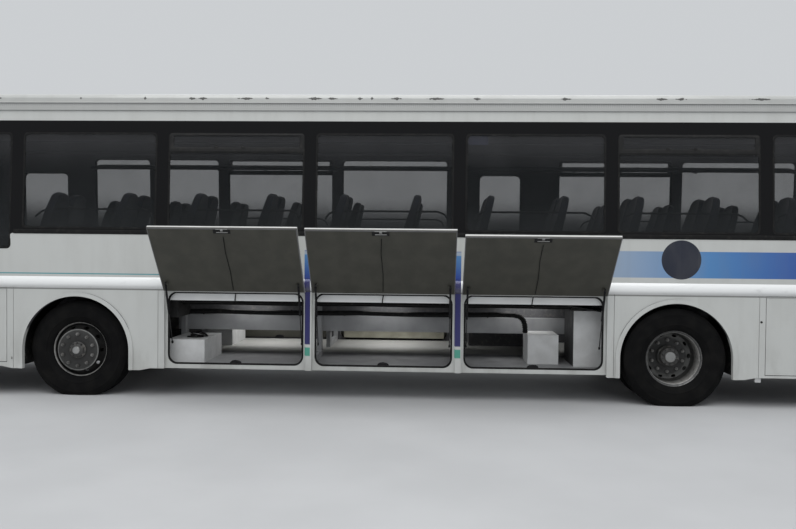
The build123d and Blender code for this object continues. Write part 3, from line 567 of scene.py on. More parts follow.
@dataclass(frozen=True)
class LampLens(Paint):
    """A moulded lens, banded by height.

    Attributes:
        bands: stops from the bottom to the top, as a share of the height, and colours.
        low: bottom of the lens.
        high: top of the lens.
        cover: how much it hides.
    """

    bands: Tuple[Tuple[float, Triple], ...]
    low: float
    high: float
    cover: float = 0.8

    def fill(self, graph: Graph) -> None:
        """Fills the shader."""
        share = (graph.z - self.low) / (self.high - self.low)
        colour = graph.ramp(share, self.bands)
        colour.node.color_ramp.interpolation = "CONSTANT"
        flutes = (graph.y * 120.0).fraction() - 0.5
        rows = (graph.z * 120.0).fraction() - 0.5
        graph.set(base_color=colour, roughness=0.12, alpha=self.cover, coat_weight=0.8)
        graph.bump(flutes * flutes + rows * rows, 0.002)


@dataclass(frozen=True)
class TyreRubber(Paint):
    """Black rubber with dust on the shoulders and faint rings on the wall."""

    name: str = "tyre_rubber"

    def fill(self, graph: Graph) -> None:
        """Fills the shader."""
        dust = graph.noise(9.0, 6.0).rise(0.35, 0.8)
        colour = graph.mix(dust * 0.25, (0.0040, 0.0040, 0.0042), (0.030, 0.0285, 0.026))
        graph.set(base_color=colour, roughness=dust * 0.15 + 0.70, specular_ior_level=0.1)
        graph.bump(graph.noise(220.0, 3.0), 0.0006)


@dataclass(frozen=True)
class RimPaint(Paint):
    """A steel wheel's paint, banded by its distance from the axle, with painted highlights and painted shade
    among the bands.

    Attributes:
        axle: X of the axle.
        bands: distances in metres and the colour from there outwards.
        metallic: how metallic it is.
    """

    axle: float
    bands: Tuple[Tuple[float, Triple], ...]
    metallic: float = 0.35

    def fill(self, graph: Graph) -> None:
        """Fills the shader."""
        reach = 0.4
        distance = graph.radius(self.axle, AXLE_Z)
        colour = graph.ramp(distance / reach, [(r / reach, tint) for r, tint in self.bands])
        grime = graph.noise(28.0, 6.0).rise(0.42, 0.75)
        colour = graph.mix(grime * 0.55, colour, (0.030, 0.028, 0.026))
        graph.set(base_color=colour, roughness=grime * 0.25 + 0.36, metallic=self.metallic)
        graph.bump(graph.noise(130.0, 3.0), 0.0005)


@dataclass(frozen=True)
class SeatCloth(Paint):
    """Woven pile with a fine diagonal rib and a scattered fleck."""

    name: str = "seat_cloth"

    def fill(self, graph: Graph) -> None:
        """Fills the shader."""
        weave = ((graph.x + graph.z) * 260.0).fraction() - 0.5
        cross = ((graph.y - graph.z) * 260.0).fraction() - 0.5
        height = weave * weave + cross * cross
        fleck = graph.noise(70.0, 3.0).rise(0.60, 0.68)
        colour = graph.mix(graph.noise(12.0).rise(0.3, 0.7), (0.016, 0.017, 0.022), (0.026, 0.028, 0.036))
        colour = graph.mix(fleck, colour, (0.030, 0.050, 0.110))
        graph.set(base_color=colour, roughness=0.9, sheen_weight=0.3)
        graph.bump(height, 0.0012)


FINISHES: Tuple[Paint, ...] = (
    BodyPaint(),
    RoofPaint(),
    RailPaint(),
    BayPaint(),
    LockerFloor(),
    Glazing("side_glass", cover=0.33, shade=0.35),
    Glazing("screen_glass", (0.02, 0.024, 0.022), 0.24),
    # The mirrors' glass is an opaque grey: a painted reflection.
    Glazing("mirror_painted_reflection", (0.35, 0.36, 0.37), 1.0, 0.5),
    TyreRubber(),
    # Front rims: the thin pale rings at the disc's edge and on the lip are painted highlights; the black ring
    # over the dish and barrel is painted shade.
    RimPaint("rim_front", AXLES[End.FRONT], (
        (0.0, (0.020, 0.020, 0.019)), (0.090, (0.016, 0.016, 0.015)), (0.112, (0.030, 0.030, 0.029)),
        (0.206, (0.046, 0.046, 0.044)), (0.216, (0.26, 0.26, 0.25)), (0.222, (0.010, 0.010, 0.010)),
        (0.275, (0.010, 0.010, 0.010)), (0.281, (0.62, 0.61, 0.58)), (0.300, (0.50, 0.49, 0.47)))),
    # Rear rims: the two thin bright rings are painted highlights; the dark band between them, over the barrel,
    # is painted shade.
    RimPaint("rim_rear", AXLES[End.REAR], (
        (0.0, (0.05, 0.05, 0.047)), (0.120, (0.022, 0.022, 0.021)), (0.190, (0.028, 0.028, 0.027)),
        (0.205, (0.075, 0.075, 0.070)), (0.240, (0.070, 0.070, 0.067)), (0.256, (0.040, 0.040, 0.039)),
        (0.2635, (0.22, 0.215, 0.205)), (0.266, (0.60, 0.59, 0.56)), (0.270, (0.10, 0.10, 0.10)),
        (0.284, (0.10, 0.10, 0.10)), (0.290, (0.55, 0.54, 0.52)), (0.300, (0.45, 0.44, 0.42)))),
    SeatCloth(),
    LampLens("head_lens", ((0.0, (0.55, 0.57, 0.58)), (1.0, (0.7, 0.7, 0.7))), 0.64, 0.84, 0.55),
    LampLens(
        "tail_lens",
        ((0.0, (0.30, 0.012, 0.010)), (0.3, (0.55, 0.56, 0.56)), (0.45, (0.55, 0.14, 0.01)),
         (0.7, (0.30, 0.012, 0.010))),
        0.76, 1.50, 0.9,
    ),
    Finish("rubber_trim", (0.008, 0.008, 0.008), 0.6, grain=150.0, relief=0.0004, soil=0.05, shine=0.2),
    Finish("black_gloss", (0.006, 0.006, 0.007), 0.20, mottle=0.1, soil=0.03, shine=0.2),
    Finish("black_plastic", (0.012, 0.012, 0.012), 0.5, grain=200.0, soil=0.05, shine=0.25),
    Finish("grey_plastic", (0.16, 0.16, 0.165), 0.55, grain=200.0, relief=0.0002),
    Finish("dark_fabric", (0.040, 0.041, 0.045), 0.9, grain=60.0, relief=0.0002, soil=0.0, shine=0.1),
    Finish("chassis_paint", (0.014, 0.014, 0.014), 0.55, soil=0.2, shine=0.25),
    Finish("cast_metal", (0.055, 0.054, 0.052), 0.6, grain=180.0, relief=0.0012, soil=0.5),
    Finish("rim_paint", (0.085, 0.083, 0.078), 0.5, grain=120.0, mottle=0.45, soil=0.45),
    Finish("worn_steel", (0.26, 0.255, 0.245), 0.42, metallic=0.6, mottle=0.5, soil=0.3),
    Finish("dark_steel", (0.05, 0.05, 0.05), 0.35, metallic=0.6, mottle=0.3, soil=0.1),
    # Painted light on the far door's lining, for the pale strip on the far sill.
    Finish("board", (0.34, 0.33, 0.26), 0.6, mottle=0.3, soil=0.2),
    Finish("sticker_blue", (0.020, 0.026, 0.085), 0.4, soil=0.0),
    Finish("bare_steel", (0.42, 0.42, 0.41), 0.32, metallic=0.9, mottle=0.3, soil=0.3),
    Finish("aluminium", (0.62, 0.62, 0.61), 0.35, metallic=0.7, mottle=0.15, soil=0.15),
    Finish("rail_white", (0.66, 0.67, 0.66), 0.28, mottle=0.08, soil=0.12, coat=0.4),
    Finish("floor_sheet", (0.10, 0.10, 0.105), 0.7, grain=500.0, soil=0.3),
    Finish("engine_block", (0.060, 0.068, 0.072), 0.5, grain=90.0, relief=0.002, soil=0.5),
)


class Shape:
    """A mesh that is modelled with Blender's own tools, in place in the coach's frame."""

    def __init__(self, obj: bpy.types.Object, name: str) -> None:
        """Takes over a new object and names it."""
        self.obj = obj
        obj.name = name
        obj.data.name = name

    @classmethod
    def box(cls, name: str, low: Sequence[float], high: Sequence[float]) -> "Shape":
        """A block between two corners."""
        bpy.ops.object.select_all(action="DESELECT")
        centre = [(a + b) / 2 for a, b in zip(low, high)]
        size = [abs(b - a) for a, b in zip(low, high)]
        bpy.ops.mesh.primitive_cube_add(size=1.0, location=centre, scale=size)
        return cls(bpy.context.object, name).settle()

    @classmethod
    def face(cls, name: str, points: Points, filled: bool = True) -> "Shape":
        """A flat face, or an open ring of edges, through the points."""
        bpy.ops.object.select_all(action="DESELECT")
        fill = "NGON" if filled else "NOTHING"
        bpy.ops.mesh.primitive_circle_add(vertices=len(points), fill_type=fill)
        shape = cls(bpy.context.object, name)
        for vertex, point in zip(shape.obj.data.vertices, points):
            vertex.co = point
        return shape

    @classmethod
    def plate(cls, name: str, points: Points, thickness: Sequence[float]) -> "Shape":
        """A flat face pushed out to a plate along a vector."""
        return cls.face(name, points).push(thickness).outwards()

    @classmethod
    def lathe(cls, name: str, profile: Points, centre: Sequence[float] = ORIGIN, steps: int = 64,
              axis: Axis = Axis.Y) -> "Shape":
        """Spins a closed profile of (radius, height) about an axis through the centre."""
        middle = Vector(centre)
        shape = cls.face(name, [middle + axis.point(r, h) for r, h in profile], filled=False)
        shape.tool(bpy.ops.mesh.spin, kind="EDGE", steps=steps, angle=math.tau, center=middle, axis=axis.value)
        shape.tool(bpy.ops.mesh.remove_doubles, kind="VERT", threshold=1e-5)
        return shape.outwards()

    @classmethod
    def tube(cls, name: str, points: Points, radius: float, closed: bool = False,
             fine: bool = False) -> "Shape":
        """A round bar or hose along a path, 8 or, where fine, 12 faces round."""
        curve = bpy.data.curves.new(name, "CURVE")
        curve.dimensions = "3D"
        curve.bevel_depth = radius
        curve.bevel_resolution = 2 if fine else 1
        curve.use_fill_caps = not closed
        spline = curve.splines.new("POLY")
        spline.points.add(len(points) - 1)
        for target, point in zip(spline.points, points):
            target.co = (*point, 1.0)
        spline.use_cyclic_u = closed
        obj = bpy.data.objects.new(name, curve)
        bpy.context.scene.collection.objects.link(obj)
        shape = cls(obj, name)
        shape.pick()
        bpy.ops.object.convert(target="MESH")
        return cls(bpy.context.object, name).outwards()

    def pick(self) -> None:
        """Makes this the only selected and the active object."""
        bpy.ops.object.select_all(action="DESELECT")
        self.obj.select_set(True)
        bpy.context.view_layer.objects.active = self.obj

    def settle(self) -> "Shape":
        """Puts the object's place into its mesh."""
        self.pick()
        bpy.ops.object.transform_apply(location=True, rotation=True, scale=True)
        return self

    def tool(self, tool: Callable, ways: Sequence[Way] = (), kind: str = "FACE", **settings: Any) -> "Shape":
        """Runs an edit tool on everything, or on the faces that look some ways.

        Args:
            tool: the operator.
            ways: the ways of the faces to pick, or none for everything.
            kind: VERT, EDGE or FACE.
            settings: the operator's own settings.

        Returns:
            This shape.
        """
        self.pick()
        bpy.ops.object.mode_set(mode="EDIT")
        bpy.ops.mesh.select_mode(type=kind)
        bpy.ops.mesh.select_all(action="DESELECT" if ways else "SELECT")
        if ways:
            mesh = bmesh.from_edit_mesh(self.obj.data)
            mesh.normal_update()
            for face in mesh.faces:
                face.select_set(any(face.normal.dot(way.value) > 0.9 for way in ways))
            mesh.select_flush_mode()
            bmesh.update_edit_mesh(self.obj.data)
        tool(**settings)
        bpy.ops.object.mode_set(mode="OBJECT")
        return self

    def push(self, vector: Sequence[float]) -> "Shape":
        """Extrudes the faces or edges along a vector."""
        return self.tool(bpy.ops.mesh.extrude_region_move, TRANSFORM_OT_translate={"value": tuple(vector)})

    def inset(self, width: float, depth: float, *ways: Way) -> "Shape":
        """Insets the faces that look some ways and sinks them by a depth."""
        return self.tool(bpy.ops.mesh.inset, ways, thickness=width, depth=-depth)

    def outwards(self) -> "Shape":
        """Turns every face outwards."""
        return self.tool(bpy.ops.mesh.normals_make_consistent, inside=False)

    def modifier(self, kind: str, **settings: Any) -> "Shape":
        """Adds a modifier and applies it."""
        self.pick()
        added = self.obj.modifiers.new(kind, kind)
        for key, value in settings.items():
            setattr(added, key, value)
        bpy.ops.object.modifier_apply(modifier=added.name)
        return self

    def bevel(self, width: float, segments: int = 2, angle: float = 40.0) -> "Shape":
        """Rounds the sharp edges."""
        return self.modifier("BEVEL", width=width, segments=segments, limit_method="ANGLE",
                             angle_limit=math.radians(angle))

    def smooth(self, levels: int) -> "Shape":
        """Subdivides the surface."""
        return self.modifier("SUBSURF", levels=levels, render_levels=levels)

    def moved(self, matrix: Matrix) -> "Shape":
        """Moves the mesh itself."""
        self.obj.data.transform(matrix)
        if matrix.determinant() < 0:
            self.obj.data.flip_normals()
        return self

    def copy(self, matrix: Matrix) -> "Shape":
        """A copy with its own mesh, moved."""
        twin = self.obj.copy()
        twin.data = self.obj.data.copy()
        bpy.context.scene.collection.objects.link(twin)
        return Shape(twin, self.obj.name + "_copy").moved(matrix)

    def mirrored(self) -> "Shape":
        """A mirrored copy on the other side of the coach."""
        return self.copy(Matrix.Diagonal((1.0, -1.0, 1.0, 1.0)))

    @staticmethod
    def joined(name: str, shapes: Iterable["Shape"]) -> "Shape":
        """Joins shapes to one."""
        shapes = list(shapes)
        bpy.ops.object.select_all(action="DESELECT")
        for shape in shapes:
            shape.obj.select_set(True)
        bpy.context.view_layer.objects.active = shapes[0].obj
        if len(shapes) > 1:
            bpy.ops.object.join()
        return Shape(bpy.context.object, name)

    def fit(self, slot: str, look: str, body: str = ROOT, smooth_angle: float = 35.0) -> bpy.types.Object:
        """Paints the piece, smooths its shading and lets it ride on a body."""
        self.obj.data.materials.clear()
        self.obj.data.materials.append(MATERIALS[look])
        self.pick()
        bpy.ops.object.shade_smooth_by_angle(angle=math.radians(smooth_angle))
        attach(self.obj, body)
        LOG.info("piece %s on %s, %d faces", self.obj.name, body, len(self.obj.data.polygons))
        return self.obj


def piece(name: str, shapes: Iterable[Shape], slot: str, look: str, body: str = ROOT) -> bpy.types.Object:
    """Joins shapes to one piece and fits it."""
    return Shape.joined(name, shapes).fit(slot, look, body)


def turns(count: int) -> List[float]:
    """The angles of even steps round a circle, in radians."""
    return [math.tau * step / count for step in range(count)]


def rounded_outline(box: Sequence[float], radius: float, steps: int = 5, grow: float = 0.0) -> List[Pair]:
    """The corner points of a rounded rectangle, anticlockwise.

    Args:
        box: its low and high places across, and its low and high places up.
        radius: radius of its corners.
        steps: how many edges a corner has.
        grow: how far each side moves outwards first.

    Returns:
        The points.
    """
    x0, x1, z0, z1 = box[0] - grow, box[1] + grow, box[2] - grow, box[3] + grow
    corners = [(x1 - radius, z0 + radius, -90.0), (x1 - radius, z1 - radius, 0.0),
               (x0 + radius, z1 - radius, 90.0), (x0 + radius, z0 + radius, 180.0)]
    points = []
    for across, up, start in corners:
        for step in range(steps + 1):
            turn = math.radians(start + 90.0 * step / steps)
            points.append((across + radius * math.cos(turn), up + radius * math.sin(turn)))
    return points


def side_point(x: float, z: float, proud: float, side: Side) -> Triple:
    """A point on the body's side, standing proud of the skin."""
    return (x, side.value * (skin_y(z) + proud), z)


def side_ring(name: str, outer: Points, inner: Points, proud: float, depth: float, side: Side) -> Shape:
    """A flat frame on the body's side between two outlines of the same number of points."""
    rings = []
    for number, outline in enumerate((outer, inner)):
        points = [side_point(x, z, proud, side) for x, z in outline]
        rings.append(Shape.face(f"{name}_{number}", points, filled=False))
    shape = Shape.joined(name, rings)
    shape.tool(bpy.ops.mesh.bridge_edge_loops, kind="EDGE")
    shape.push((0.0, -side.value * depth, 0.0))
    return shape.outwards()


def side_panel(name: str, outline: Points, proud: float, depth: float, side: Side) -> Shape:
    """A flat panel on the body's side."""
    points = [side_point(x, z, proud, side) for x, z in outline]
    return Shape.plate(name, points, (0.0, -side.value * depth, 0.0))


def swing(angle: float) -> Matrix:
    """The turn of a left locker door from shut to its rest angle."""
    hinge = Matrix.Translation(HINGE)
    return hinge @ Matrix.Rotation(math.radians(-angle), 4, "X") @ hinge.inverted()


@dataclass
class Studio:
    """The floor, the light and the photograph's camera."""

    place: Triple = (0.596, -9.202, 1.599)
    yaw: float = 0.0409
    pitch: float = 0.0212
    roll: float = 0.0098
    lens: float = 34.8
    floor_size: float = 120.0
    sky: Triple = (0.93, 0.96, 1.0)
    sky_strength: float = 0.62
    seen: Triple = (0.60, 0.62, 0.64)

    def camera(self) -> None:
        """Places the camera."""
        data = bpy.data.cameras.new("photo_camera")
        data.lens = self.lens
        data.sensor_width = 36.0
        data.clip_end = 300.0
        camera = bpy.data.objects.new("photo_camera", data)
        bpy.context.scene.collection.objects.link(camera)
        forward = Vector((-math.sin(self.yaw) * math.cos(self.pitch),
                          math.cos(self.yaw) * math.cos(self.pitch), -math.sin(self.pitch)))
        aim = forward.to_track_quat("-Z", "Y").to_matrix().to_4x4()
        camera.matrix_world = Matrix.Translation(self.place) @ aim @ Matrix.Rotation(self.roll, 4, "Z")
        bpy.context.scene.camera = camera

    def light(self) -> None:
        """A pale world, two large soft lamps and two small ones in each left locker."""
        scene = bpy.context.scene
        scene.view_settings.view_transform = "Standard"
        scene.world = bpy.data.worlds.new("studio")
        scene.world.use_nodes = True
        tree = scene.world.node_tree
        tree.nodes.clear()
        output, mix, rays = (tree.nodes.new(f"ShaderNode{kind}")
                             for kind in ("OutputWorld", "MixShader", "LightPath"))
        tree.links.new(rays.outputs["Is Camera Ray"], mix.inputs[0])
        tree.links.new(mix.outputs[0], output.inputs[0])
        for number, colour, strength in ((1, self.sky, self.sky_strength), (2, self.seen, 1.0)):
            background = tree.nodes.new("ShaderNodeBackground")
            background.inputs[0].default_value = (*colour, 1.0)
            background.inputs[1].default_value = strength
            tree.links.new(background.outputs[0], mix.inputs[number])
        self.panel("sky_panel", (0.0, -5.5, 12.0), (0.0, 0.0, 1.2), 14.0, 1150.0)
        self.panel("fill_panel", (0.0, 10.0, 8.0), (0.0, 0.0, 1.2), 14.0, 450.0)
        for x in LOCKERS:
            self.panel("locker_fill", (x, -0.35, 1.02), (x, -0.30, 0.0), 0.5, 2.5)
            self.panel("locker_far", (x, 0.75, 1.02), (x, 0.70, 0.0), 0.6, 5.0)

    @staticmethod
    def panel(name: str, place: Triple, aim: Triple, size: float, power: float) -> None:
        """Adds a square soft lamp.

        Args:
            name: the lamp's name.
            place: its middle.
            aim: the point that it faces.
            size: length of its edges.
            power: watts.
        """
        data = bpy.data.lights.new(name, "AREA")
        data.size = size
        data.energy = power
        lamp = bpy.data.objects.new(name, data)
        bpy.context.scene.collection.objects.link(lamp)
        lamp.location = place
        lamp.rotation_euler = (Vector(aim) - Vector(place)).to_track_quat("-Z", "Y").to_euler()

    def floor(self) -> None:
        """A plain pale floor."""
        bpy.ops.object.select_all(action="DESELECT")
        bpy.ops.mesh.primitive_plane_add(size=self.floor_size)
        floor = Shape(bpy.context.object, "studio_floor")
        graph = Graph("studio_floor")
        colour = graph.mix(graph.noise(0.8, 6.0).rise(0.3, 0.7), (0.50, 0.505, 0.51), (0.54, 0.545, 0.55))
        graph.set(base_color=colour, roughness=0.9)
        floor.obj.data.materials.append(graph.material)

    def build(self) -> None:
        """Sets the whole stage."""
        self.camera()
        self.light()
        self.floor()
        LOG.info("stage set")


@dataclass
class CadFinishes:
    """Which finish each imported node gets."""

    by_name: Dict[str, str] = field(
        default_factory=lambda: {
            "windscreen": "screen_glass", "window_glass": "side_glass", "head_lamps": "head_lens",
            "tail_lamps": "tail_lens", "mirrors": "black_plastic", "rub_rails": "rail_paint",
            "underframe": "bay_paint", "saloon_floor": "floor_sheet", "stairs": "floor_sheet",
            "luggage_bay": "locker_floor", "wheel_housings": "black_plastic", "axles": "cast_metal",
            "air_springs": "rubber_trim", "tanks": "chassis_paint", "engine": "engine_block",
            "parcel_racks": "dark_fabric", "dashboard": "black_plastic", "roof": "roof_paint",
            "steering_wheel": "black_plastic", "seats": "seat_cloth",
        }
    )
    by_start: Tuple[Tuple[str, str], ...] = (
        ("knuckle", "cast_metal"), ("rim", "rim_paint"), ("tyre", "tyre_rubber"),
        ("strut_barrels", "black_gloss"), ("strut_rods", "dark_steel"),
    )
    lining_depth: float = 0.016

    def build(self) -> None:
        """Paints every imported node."""
        for index, angle in enumerate(DOOR_ANGLES, 1):
            turn = math.radians(-angle)
            normal = (0.0, math.cos(turn), math.sin(turn))
            hinge = Vector(HINGE).dot(Vector(normal))
            DoorSkin(f"door_skin_{index}", normal, hinge + self.lining_depth).build()
            self.by_name[f"locker_door_left_{index}"] = f"door_skin_{index}"
        DoorSkin("door_skin_right", (0.0, -1.0, 0.0), self.lining_depth + HINGE[1]).build()
        for index in (1, 2):
            self.by_name[f"locker_door_right_{index}"] = "door_skin_right"
        for name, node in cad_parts.items():
            finish = self.by_name.get(name, "body_paint")
            for start, other in self.by_start:
                if name.startswith(start):
                    finish = other
            self.paint(node, MATERIALS[finish])
            LOG.info("node %s painted %s", name, finish)

    @staticmethod
    def paint(node: bpy.types.Object, material: bpy.types.Material) -> None:
        """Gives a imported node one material."""
        if not node.material_slots:
            node.data.materials.append(material)
        for slot in node.material_slots:
            slot.material = material


@dataclass
class Windows:
    """Rubber seals round the panes, the sliding hoppers and the band's bottom trim."""

    seal: float = 0.016
    lap: float = 0.004
    proud: float = 0.0025
    radius: float = 0.045
    hopper_bar: Pair = (2.577, 2.637)
    hopper_top: float = 2.757

    def openings(self, side: Side) -> List[Triple]:
        """Low X, high X and sill height of each window on a side."""
        if side is Side.LEFT:
            row = [(a + PILLAR_HALF, b - PILLAR_HALF, GLASS_LOW) for a, b in zip(PILLARS, PILLARS[1:])]
            return [(-5.19, PILLARS[0] - PILLAR_HALF, 1.56)] + row
        table = ((-3.989, -3.225), (-3.150, -2.275), (-2.147, -0.720), (-0.592, 0.835), (2.310, 3.800),
                 (3.930, 5.420))
        return [(x0, x1, GLASS_LOW) for x0, x1 in table]

    def hoppers(self, side: Side) -> List[Pair]:
        """Low and high X of the windows with a sliding top."""
        if side is Side.LEFT:
            return [(PILLARS[1] + PILLAR_HALF, PILLARS[2] - PILLAR_HALF),
                    (PILLARS[4] + PILLAR_HALF, PILLARS[5] - PILLAR_HALF)]
        return [(-2.147, -0.720), (2.310, 3.800)]

    def build(self) -> None:
        """Models the glazing trim of both sides."""
        for side in Side:
            word = side.name.lower()
            seals, frames = [], []
            for x0, x1, z0 in self.openings(side):
                outer = rounded_outline((x0, x1, z0, GLASS_TOP), self.radius, grow=self.lap)
                inner = rounded_outline((x0, x1, z0, GLASS_TOP), self.radius, grow=-self.seal)
                seals.append(side_ring("seal", outer, inner, self.proud, 0.006, side))
            joined = Shape.joined(f"window_seals_{word}", seals)
            joined.bevel(0.0012, 1).fit("black_plastic", "rubber_trim")
            for x0, x1 in self.hoppers(side):
                low, high = self.hopper_bar
                outer = rounded_outline((x0 + 0.006, x1 - 0.006, low, GLASS_TOP - self.lap), 0.02)
                inner = rounded_outline((x0 + 0.05, x1 - 0.05, high, self.hopper_top), 0.012)
                frames.append(side_ring("hopper", outer, inner, 0.003, 0.007, side))
                lip = rounded_outline((x0 + 0.02, x1 - 0.02, low + 0.016, low + 0.026), 0.004, 2)
                frames.append(side_panel("lip", lip, 0.006, 0.004, side))
                for part in (0.35, 0.55):
                    x = x0 + (x1 - x0) * part
                    catch = rounded_outline((x - 0.02, x + 0.02, high - 0.012, high + 0.012), 0.005, 2)
                    frames.append(side_panel("catch", catch, 0.008, 0.006, side))
            joined = Shape.joined(f"hopper_frames_{word}", frames)
            joined.bevel(0.0015, 2).fit("black_plastic", "black_plastic")
            trim = rounded_outline((-3.80, 5.93, BELT - 0.006, GLASS_LOW - 0.012), 0.01, 2)
            trim = Shape.joined(f"sill_trim_{word}", [side_panel("trim", trim, 0.005, 0.006, side)])
            trim.bevel(0.003, 2).fit("black_plastic", "rubber_trim")


@dataclass
class LockerDoors:
    """Latches, cables and edge strips on the open left doors."""

    door_half: float = 0.740
    top: float = 1.109
    bottom: float = 0.292
    inner_y: float = -1.216

    def latch(self, x: float) -> Shape:
        """The latch's sunk case near the free edge of a shut door."""
        y, z = self.inner_y, self.bottom + 0.041
        case = Shape.box("case", (x - 0.085, y, z - 0.022), (x + 0.085, y + 0.0042, z + 0.022))
        return case.inset(0.008, 0.0025, Way.RIGHT).bevel(0.0008)

    def bars(self, x: float) -> List[Shape]:
        """The handle bar, hook and plate of the latch."""
        y, z = self.inner_y, self.bottom + 0.041
        return [Shape.box("bar", (x - 0.055, y + 0.001, z + 0.002),
                          (x + 0.060, y + 0.005, z + 0.012)).bevel(0.001),
                Shape.box("hook", (x - 0.013, y, z - 0.032), (x + 0.013, y + 0.005, z - 0.006)).bevel(0.0015),
                Shape.box("plate", (x - 0.058, y, z - 0.035), (x + 0.058, y + 0.003, z - 0.026)).bevel(0.001)]

    def cable(self, x: float) -> Shape:
        """The cable from the latch to the hinge, a little wavy."""
        bends = ((0.006, self.bottom + 0.100), (-0.004, self.bottom + 0.30), (0.008, self.bottom + 0.55),
                 (0.0, self.top - 0.024))
        return Shape.tube("cable", [(x + off, self.inner_y + 0.006, z) for off, z in bends], 0.0035)

    def strips(self, x: float) -> List[Shape]:
        """The bare strips along the free edge and the two sides."""
        x0, x1, z0, wide = x - self.door_half, x + self.door_half, self.bottom + 0.003, 0.008
        spans = ((x0, x1, self.bottom + 0.012), (x0, x0 + wide, self.top), (x1 - wide, x1, self.top))
        return [Shape.box("strip", (low, self.inner_y - 0.001, z0),
                          (high, self.inner_y + 0.002, top)).bevel(0.0008) for low, high, top in spans]

    def build(self) -> None:
        """Dresses the three open doors."""
        for index, (x, angle) in enumerate(zip(LOCKERS, DOOR_ANGLES), 1):
            groups = (
                ("latch", [self.latch(x)], "black_metal", "black_plastic"),
                ("latch_bar", self.bars(x), "bright_trim", "bare_steel"),
                ("latch_cable", [self.cable(x)], "black_plastic", "rubber_trim"),
                ("edge_strip", self.strips(x), "bright_trim", "grey_plastic"),
            )
            for group, shapes, slot, look in groups:
                shape = Shape.joined(f"locker_{group}_{index}", shapes).moved(swing(angle))
                shape.fit(slot, look, f"locker_door_left_{index}")


@dataclass
class LockerMouths:
    """Rubber seals, sill catches and their tongues at the mouths of the lockers."""

    half: float = 0.709
    low: float = 0.366
    high: float = 1.112
    radius: float = 0.092
    seal_r: float = 0.010
    face_y: float = 1.2045
    tongue_y: float = 1.206

    def seal(self, x: float, side: Side) -> Shape:
        """The rubber bead round a locker's mouth."""
        outline = rounded_outline((x - self.half, x + self.half, self.low, self.high), self.radius, 8)
        points = [(px, side.value * self.face_y, pz) for px, pz in outline]
        return Shape.tube("seal", points, self.seal_r, closed=True)

    def catch(self, x: float, side: Side) -> Shape:
        """A half-round catch on the sill."""
        y = side.value * 1.188
        profile = [(0.0, 0.0), (0.066, 0.0), (0.064, 0.014), (0.054, 0.032), (0.034, 0.045), (0.0, 0.050)]
        catch = Shape.lathe("catch", profile, (x, 0.0, 0.0), 32, Axis.Z)
        return catch.moved(Matrix.Translation((0, y, 0.356)) @ Matrix.Diagonal((1.0, 0.26, 1.0, 1.0)))

    def build(self) -> None:
        """Fits out the mouths of all five lockers."""
        for side, centres in ((Side.LEFT, LOCKERS), (Side.RIGHT, LOCKERS[:2])):
            word = side.name.lower()
            seals = [self.seal(x, side) for x in centres]
            piece(f"locker_seals_{word}", seals, "rubber", "rubber_trim")
            catches = [self.catch(x, side) for x in centres]
            piece(f"locker_catches_{word}", catches, "black_metal", "black_gloss")
            y = side.value * self.tongue_y
            tongues = [Shape.box("tongue", (x - 0.016, y - 0.004, 0.357),
                                 (x + 0.016, y + 0.004, 0.368)).bevel(0.003) for x in centres]
            piece(f"catch_tongues_{word}", tongues, "bright_trim", "rail_white")


